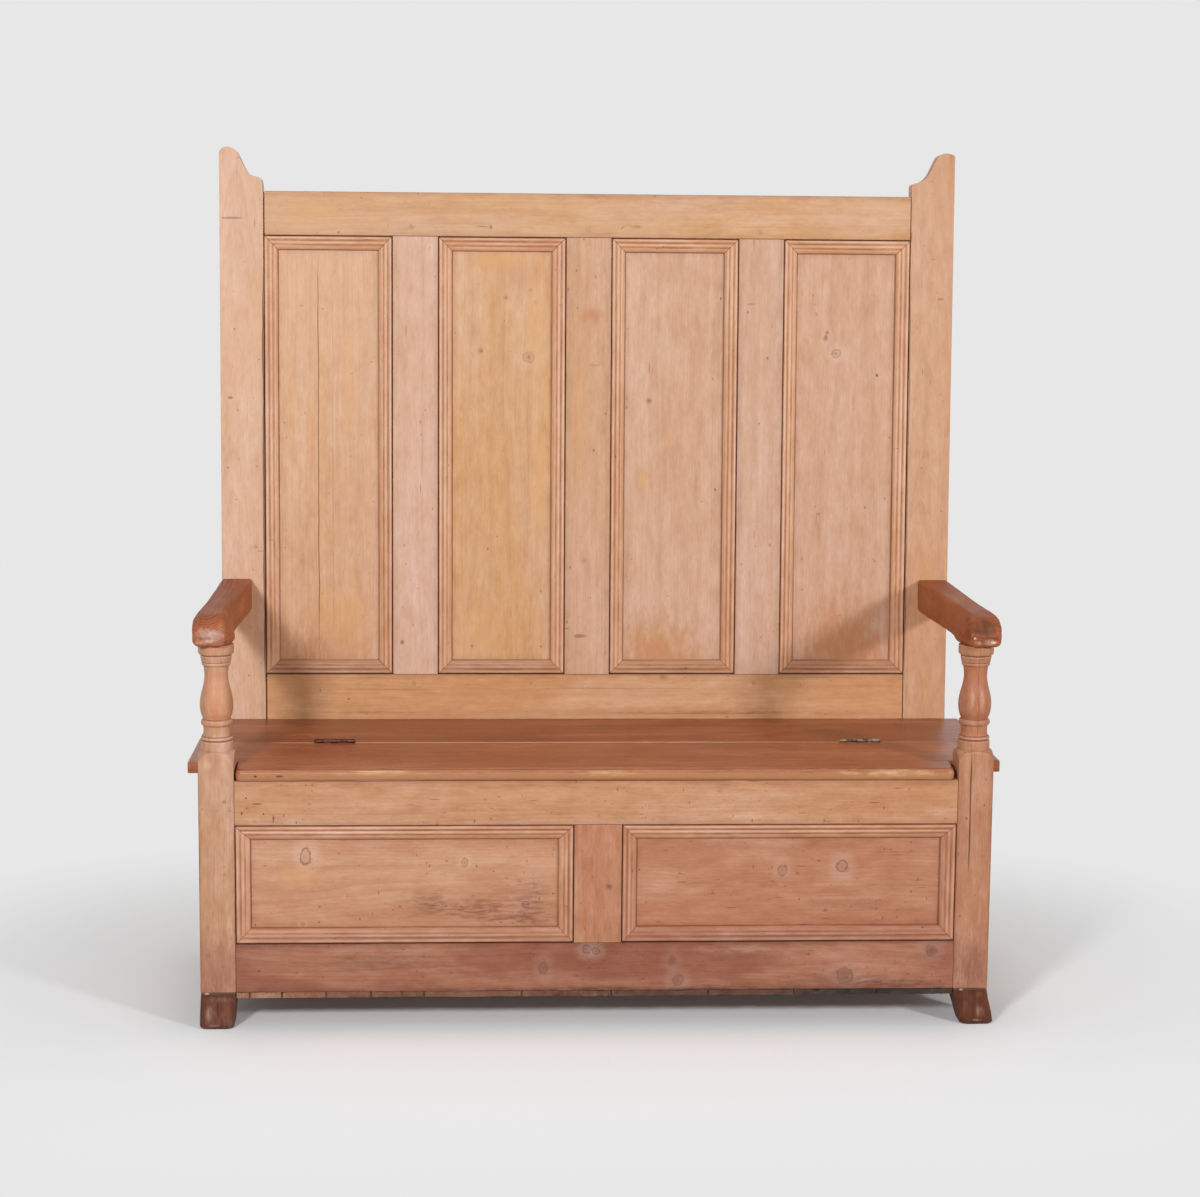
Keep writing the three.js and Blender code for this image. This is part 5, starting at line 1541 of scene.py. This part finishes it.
def makeChestFloor(values):
    joints = values["joints"]
    centres = [benchPoint((a + b) / 2, (values["front"] + values["back"]) / 2, values["middle"])
               for a, b in zip(joints, joints[1:])]
    points = pointMesh("floorPoints", centres, wide=[(b - a) / 1000 for a, b in zip(joints, joints[1:])],
                       long=[(values["back"] - values["front"]) / 1000] * len(centres))
    nodes = [f"chest_floor_{place}" for place in ("left", "middle", "right")]
    low = Vector([min(nodeBox(node)[0][i] for node in nodes) for i in range(3)])
    high = Vector([max(nodeBox(node)[1][i] for node in nodes) for i in range(3)])
    board = Board("back", level, low, high)
    blots = [(x, 4, 3, 60, 0.6, "hole", 0.8) for x in values["cracks"]] + values["blots"]
    material = makePine("chestFloor", "inner_pine", board, seeds.uniform(0, 20), blots=blots,
                        **values["looks"])
    made = runTree("chestFloor", floorTree, points, {
        "Thickness": values["thickness"] / 1000, "Gap": values["gap"] / 1000,
        "Ragged": values["ragged"] / 1000, "Seed": values["seed"], "Material": material})
    for side in (-1, 1):
        for (inner, y0, z0), (outer, y1, z1) in values["rooms"]:
            x0, x1 = sorted((side * inner, side * outer))
            carve(made, linked("room", blockMesh([(benchPoint(x0, y0, z0), benchPoint(x1, y1, z1))])))
    finishPiece(sharpen(made), material, nodes)


makeChestFloor(floorValues)
print("chest floor ready")


# Hinge metal: bright and dull in patches, with rust or tarnish in between
metals = {
    "hinge_iron": {"bright": (104, 66, 56), "dull": (62, 36, 32), "rust": (96, 50, 36), "rough": 0.5},
    "hinge_brass": {"bright": (176, 152, 124), "dull": (112, 86, 64), "rust": (76, 52, 38), "rough": 0.42},
}


def makeMetal(slot):
    values = metals[slot]
    material, tree = withNodes(bpy.data.materials.new(slot.replace("_", " ")))
    where = addNode(tree, "ShaderNodeTexCoord").outputs["Object"]
    coarse = noiseValue(where, (60.0, 120.0, 120.0), 4.0, 0.6)
    fine = noiseValue(where, (420.0, 900.0, 900.0), 3.0, 0.6)
    body = mixColour(remap(coarse, 0.4, 0.6), colour(*values["bright"]), colour(*values["dull"]))
    spots = remap(coarse * fine, 0.3, 0.36)
    body = mixColour(spots, body, colour(*values["rust"]))
    rough = values["rough"] + spots * 0.3
    bump = addNode(tree, "ShaderNodeBump", {"Strength": 0.4, "Distance": 0.0003, "Height": fine})
    shader = addNode(tree, "ShaderNodeBsdfPrincipled", {
        "Base Color": body, "Roughness": rough, "Metallic": 0.85, "Normal": bump.outputs[0]})
    addNode(tree, "ShaderNodeOutputMaterial", {"Surface": shader.outputs[0]})
    return material


headValues = {
    "screw": {"sides": 14, "radius": 3.4, "taper": 0.7, "depth": 0.8, "slot": 0.9},
    "peg": {"sides": 4, "radius": 6.2, "taper": 0.93, "depth": 0.9, "slot": 0.0},
}


def makeHeads(name, kind, points, material, body, seed):
    values = headValues[kind]
    mesh = pointMesh(name, [place for place, _ in points], facing=[tuple(way) for _, way in points])
    made = runTree(name, headTree, mesh, {
        "Sides": values["sides"], "Radius": values["radius"] / 1000, "Taper": values["taper"],
        "Depth": values["depth"] / 1000, "Slot": values["slot"] / 1000, "Seed": seed, "Material": material})
    made.data.materials.clear()
    made.data.materials.append(material)
    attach(sharpen(made, 30), body)


for number, (name, slot) in enumerate((("left", "hinge_iron"), ("right", "hinge_brass"))):
    material = makeMetal(slot)
    hinge = seatValues["hinge"]
    x = hinge["places"][number]
    for part in ("seat_leaf", "lid_leaf", "pin"):
        node = f"hinge_{part}_{name}"
        finishPiece(dressSolid(node, 0.0003), material, [node])
    for leaf, way, body in (("lid", 1, "lid"), ("seat", -1, "root")):
        y = seatValues["joint"] - way * hinge["halfJoint"]
        places = [(benchPoint(x + step, y, z), (0, way, 0)) for step, z in hinge["screws"]]
        makeHeads(f"{leaf}Screws{name.title()}", "screw", places, material, body, number)
print("hinges ready")


# Pegs, sunk a little into the front of the back's rails
pegValues = {
    "places": [(-357, 995), (-2, 994), (347, 991), (-352, 72), (-1, 69), (344, 74)], "sunk": 0.3,
    "low": (-0.65, 0, 0), "high": (0.65, 0.02, 1.06), "seed": 4.4, "spin": 2,
    "looks": {"edgeLine": 0.0, "edgeGrime": 0.0, "heart": (0, 0.01, 0.004), "light": (190, 142, 108),
              "dark": (146, 98, 70), "patch": (172, 120, 88)},
}


def makePegs(values):
    forward = leanMatrix.to_3x3() @ Vector((0, -1, 0))
    points = [(leanMatrix @ Vector((x / 1000, values["sunk"] / 1000, z / 1000)), forward)
              for x, z in values["places"]]
    board = Board("across", leanMatrix, Vector(values["low"]), Vector(values["high"]))
    material = makePine("pegs", "pale_pine", board, values["seed"], **values["looks"])
    makeHeads("backPegs", "peg", points, material, "root", values["spin"])


makePegs(pegValues)
print("pegs ready")


# Floor and light
stageValues = {
    "floorRadius": 14.0,
    "footprint": (0.6, 0.15, 0),
    "fade": (0.1, 1.15),
    "paper": 0.80,
    "matt": 0.86,
    # the floor's glow is weaker near the bench, a painted contact shadow
    "glow": (0.0, 0.35, 0.03, 0.2),
    "bounce": (0.46, 0.385, 0.32, 1),
    "behind": (1.25, 1.2, 1.12, 1),
    "behindFrom": (0.3, 1.5),
    "world": 0.27,
    "lampColour": (0.94, 0.97, 1.0),
    "lampAim": (0, 0, 0.8),
    "lamps": [
        {"name": "keyLamp", "place": (-2.0, -5.0, 2.5), "size": 0.6, "power": 174},
        {"name": "fillLamp", "place": (3.75, -4.6, 2.4), "size": 0.6, "power": 158},
    ],
}


def directly(tree):
    # 1 where the camera sees a thing, itself or mirrored, and 0 where light bounces off it
    path = addNode(tree, "ShaderNodeLightPath").outputs
    seen = calc("MAXIMUM", path["Is Camera Ray"], path["Is Glossy Ray"])
    return calc("MAXIMUM", seen, path["Is Transmission Ray"])


def makeStage(values):
    shown = (values["paper"],) * 3 + (1,)
    mesh = bmesh.new()
    bmesh.ops.create_circle(mesh, cap_ends=True, segments=96, radius=values["floorRadius"])
    floor = linked("floor", mesh)
    material, tree = withNodes(bpy.data.materials.new("floor"))
    where = addNode(tree, "ShaderNodeTexCoord").outputs["Object"]
    away = vectorCalc("SUBTRACT", vectorCalc("ABSOLUTE", where), values["footprint"])
    away = vectorCalc("LENGTH", vectorCalc("MAXIMUM", away, (0, 0, 0)))
    fade = remap(away, *values["fade"])
    seen = directly(tree)
    matt = mixColour(seen, values["bounce"], (values["matt"],) * 3 + (1,))
    matt = feed("ShaderNodeBsdfDiffuse", {0: matt})
    # the glow fades out near the bench: painted contact shadow
    glow = seen * remap(away, *values["glow"])
    glow = addNode(tree, "ShaderNodeEmission", {0: (1, 1, 1, 1), 1: glow}).outputs[0]
    near = feed("ShaderNodeAddShader", {0: matt, 1: glow})
    # the floor behind the bench bounces more, so that the back isn't left in the dark
    behind = remap(separate(where)[1], *values["behindFrom"])
    far = mixColour(seen, mixColour(behind, values["bounce"], values["behind"]), shown)
    far = addNode(tree, "ShaderNodeEmission", {0: far, 1: 1.0}).outputs[0]
    mixed = feed("ShaderNodeMixShader", {0: fade, 1: near, 2: far})
    addNode(tree, "ShaderNodeOutputMaterial", {"Surface": mixed})
    floor.data.materials.append(material)

    world, tree = withNodes(bpy.data.worlds.new("room"))
    glow = addNode(tree, "ShaderNodeBackground", {0: (1, 1, 1, 1), 1: values["world"]}).outputs[0]
    paper = addNode(tree, "ShaderNodeBackground", {0: shown, 1: 1.0}).outputs[0]
    mixed = feed("ShaderNodeMixShader", {0: directly(tree), 1: glow, 2: paper})
    addNode(tree, "ShaderNodeOutputWorld", {"Surface": mixed})
    bpy.context.scene.world = world

    for lamp in values["lamps"]:
        data = bpy.data.lights.new(lamp["name"], "AREA")
        data.size = lamp["size"]
        data.energy = lamp["power"]
        data.color = values["lampColour"]
        made = placed(lamp["name"], data)
        made.location = Vector(lamp["place"])
        away = made.location - Vector(values["lampAim"])
        made.rotation_euler = away.to_track_quat("Z", "Y").to_euler()
    bpy.context.scene.view_settings.view_transform = "Standard"


makeStage(stageValues)
print("stage ready")
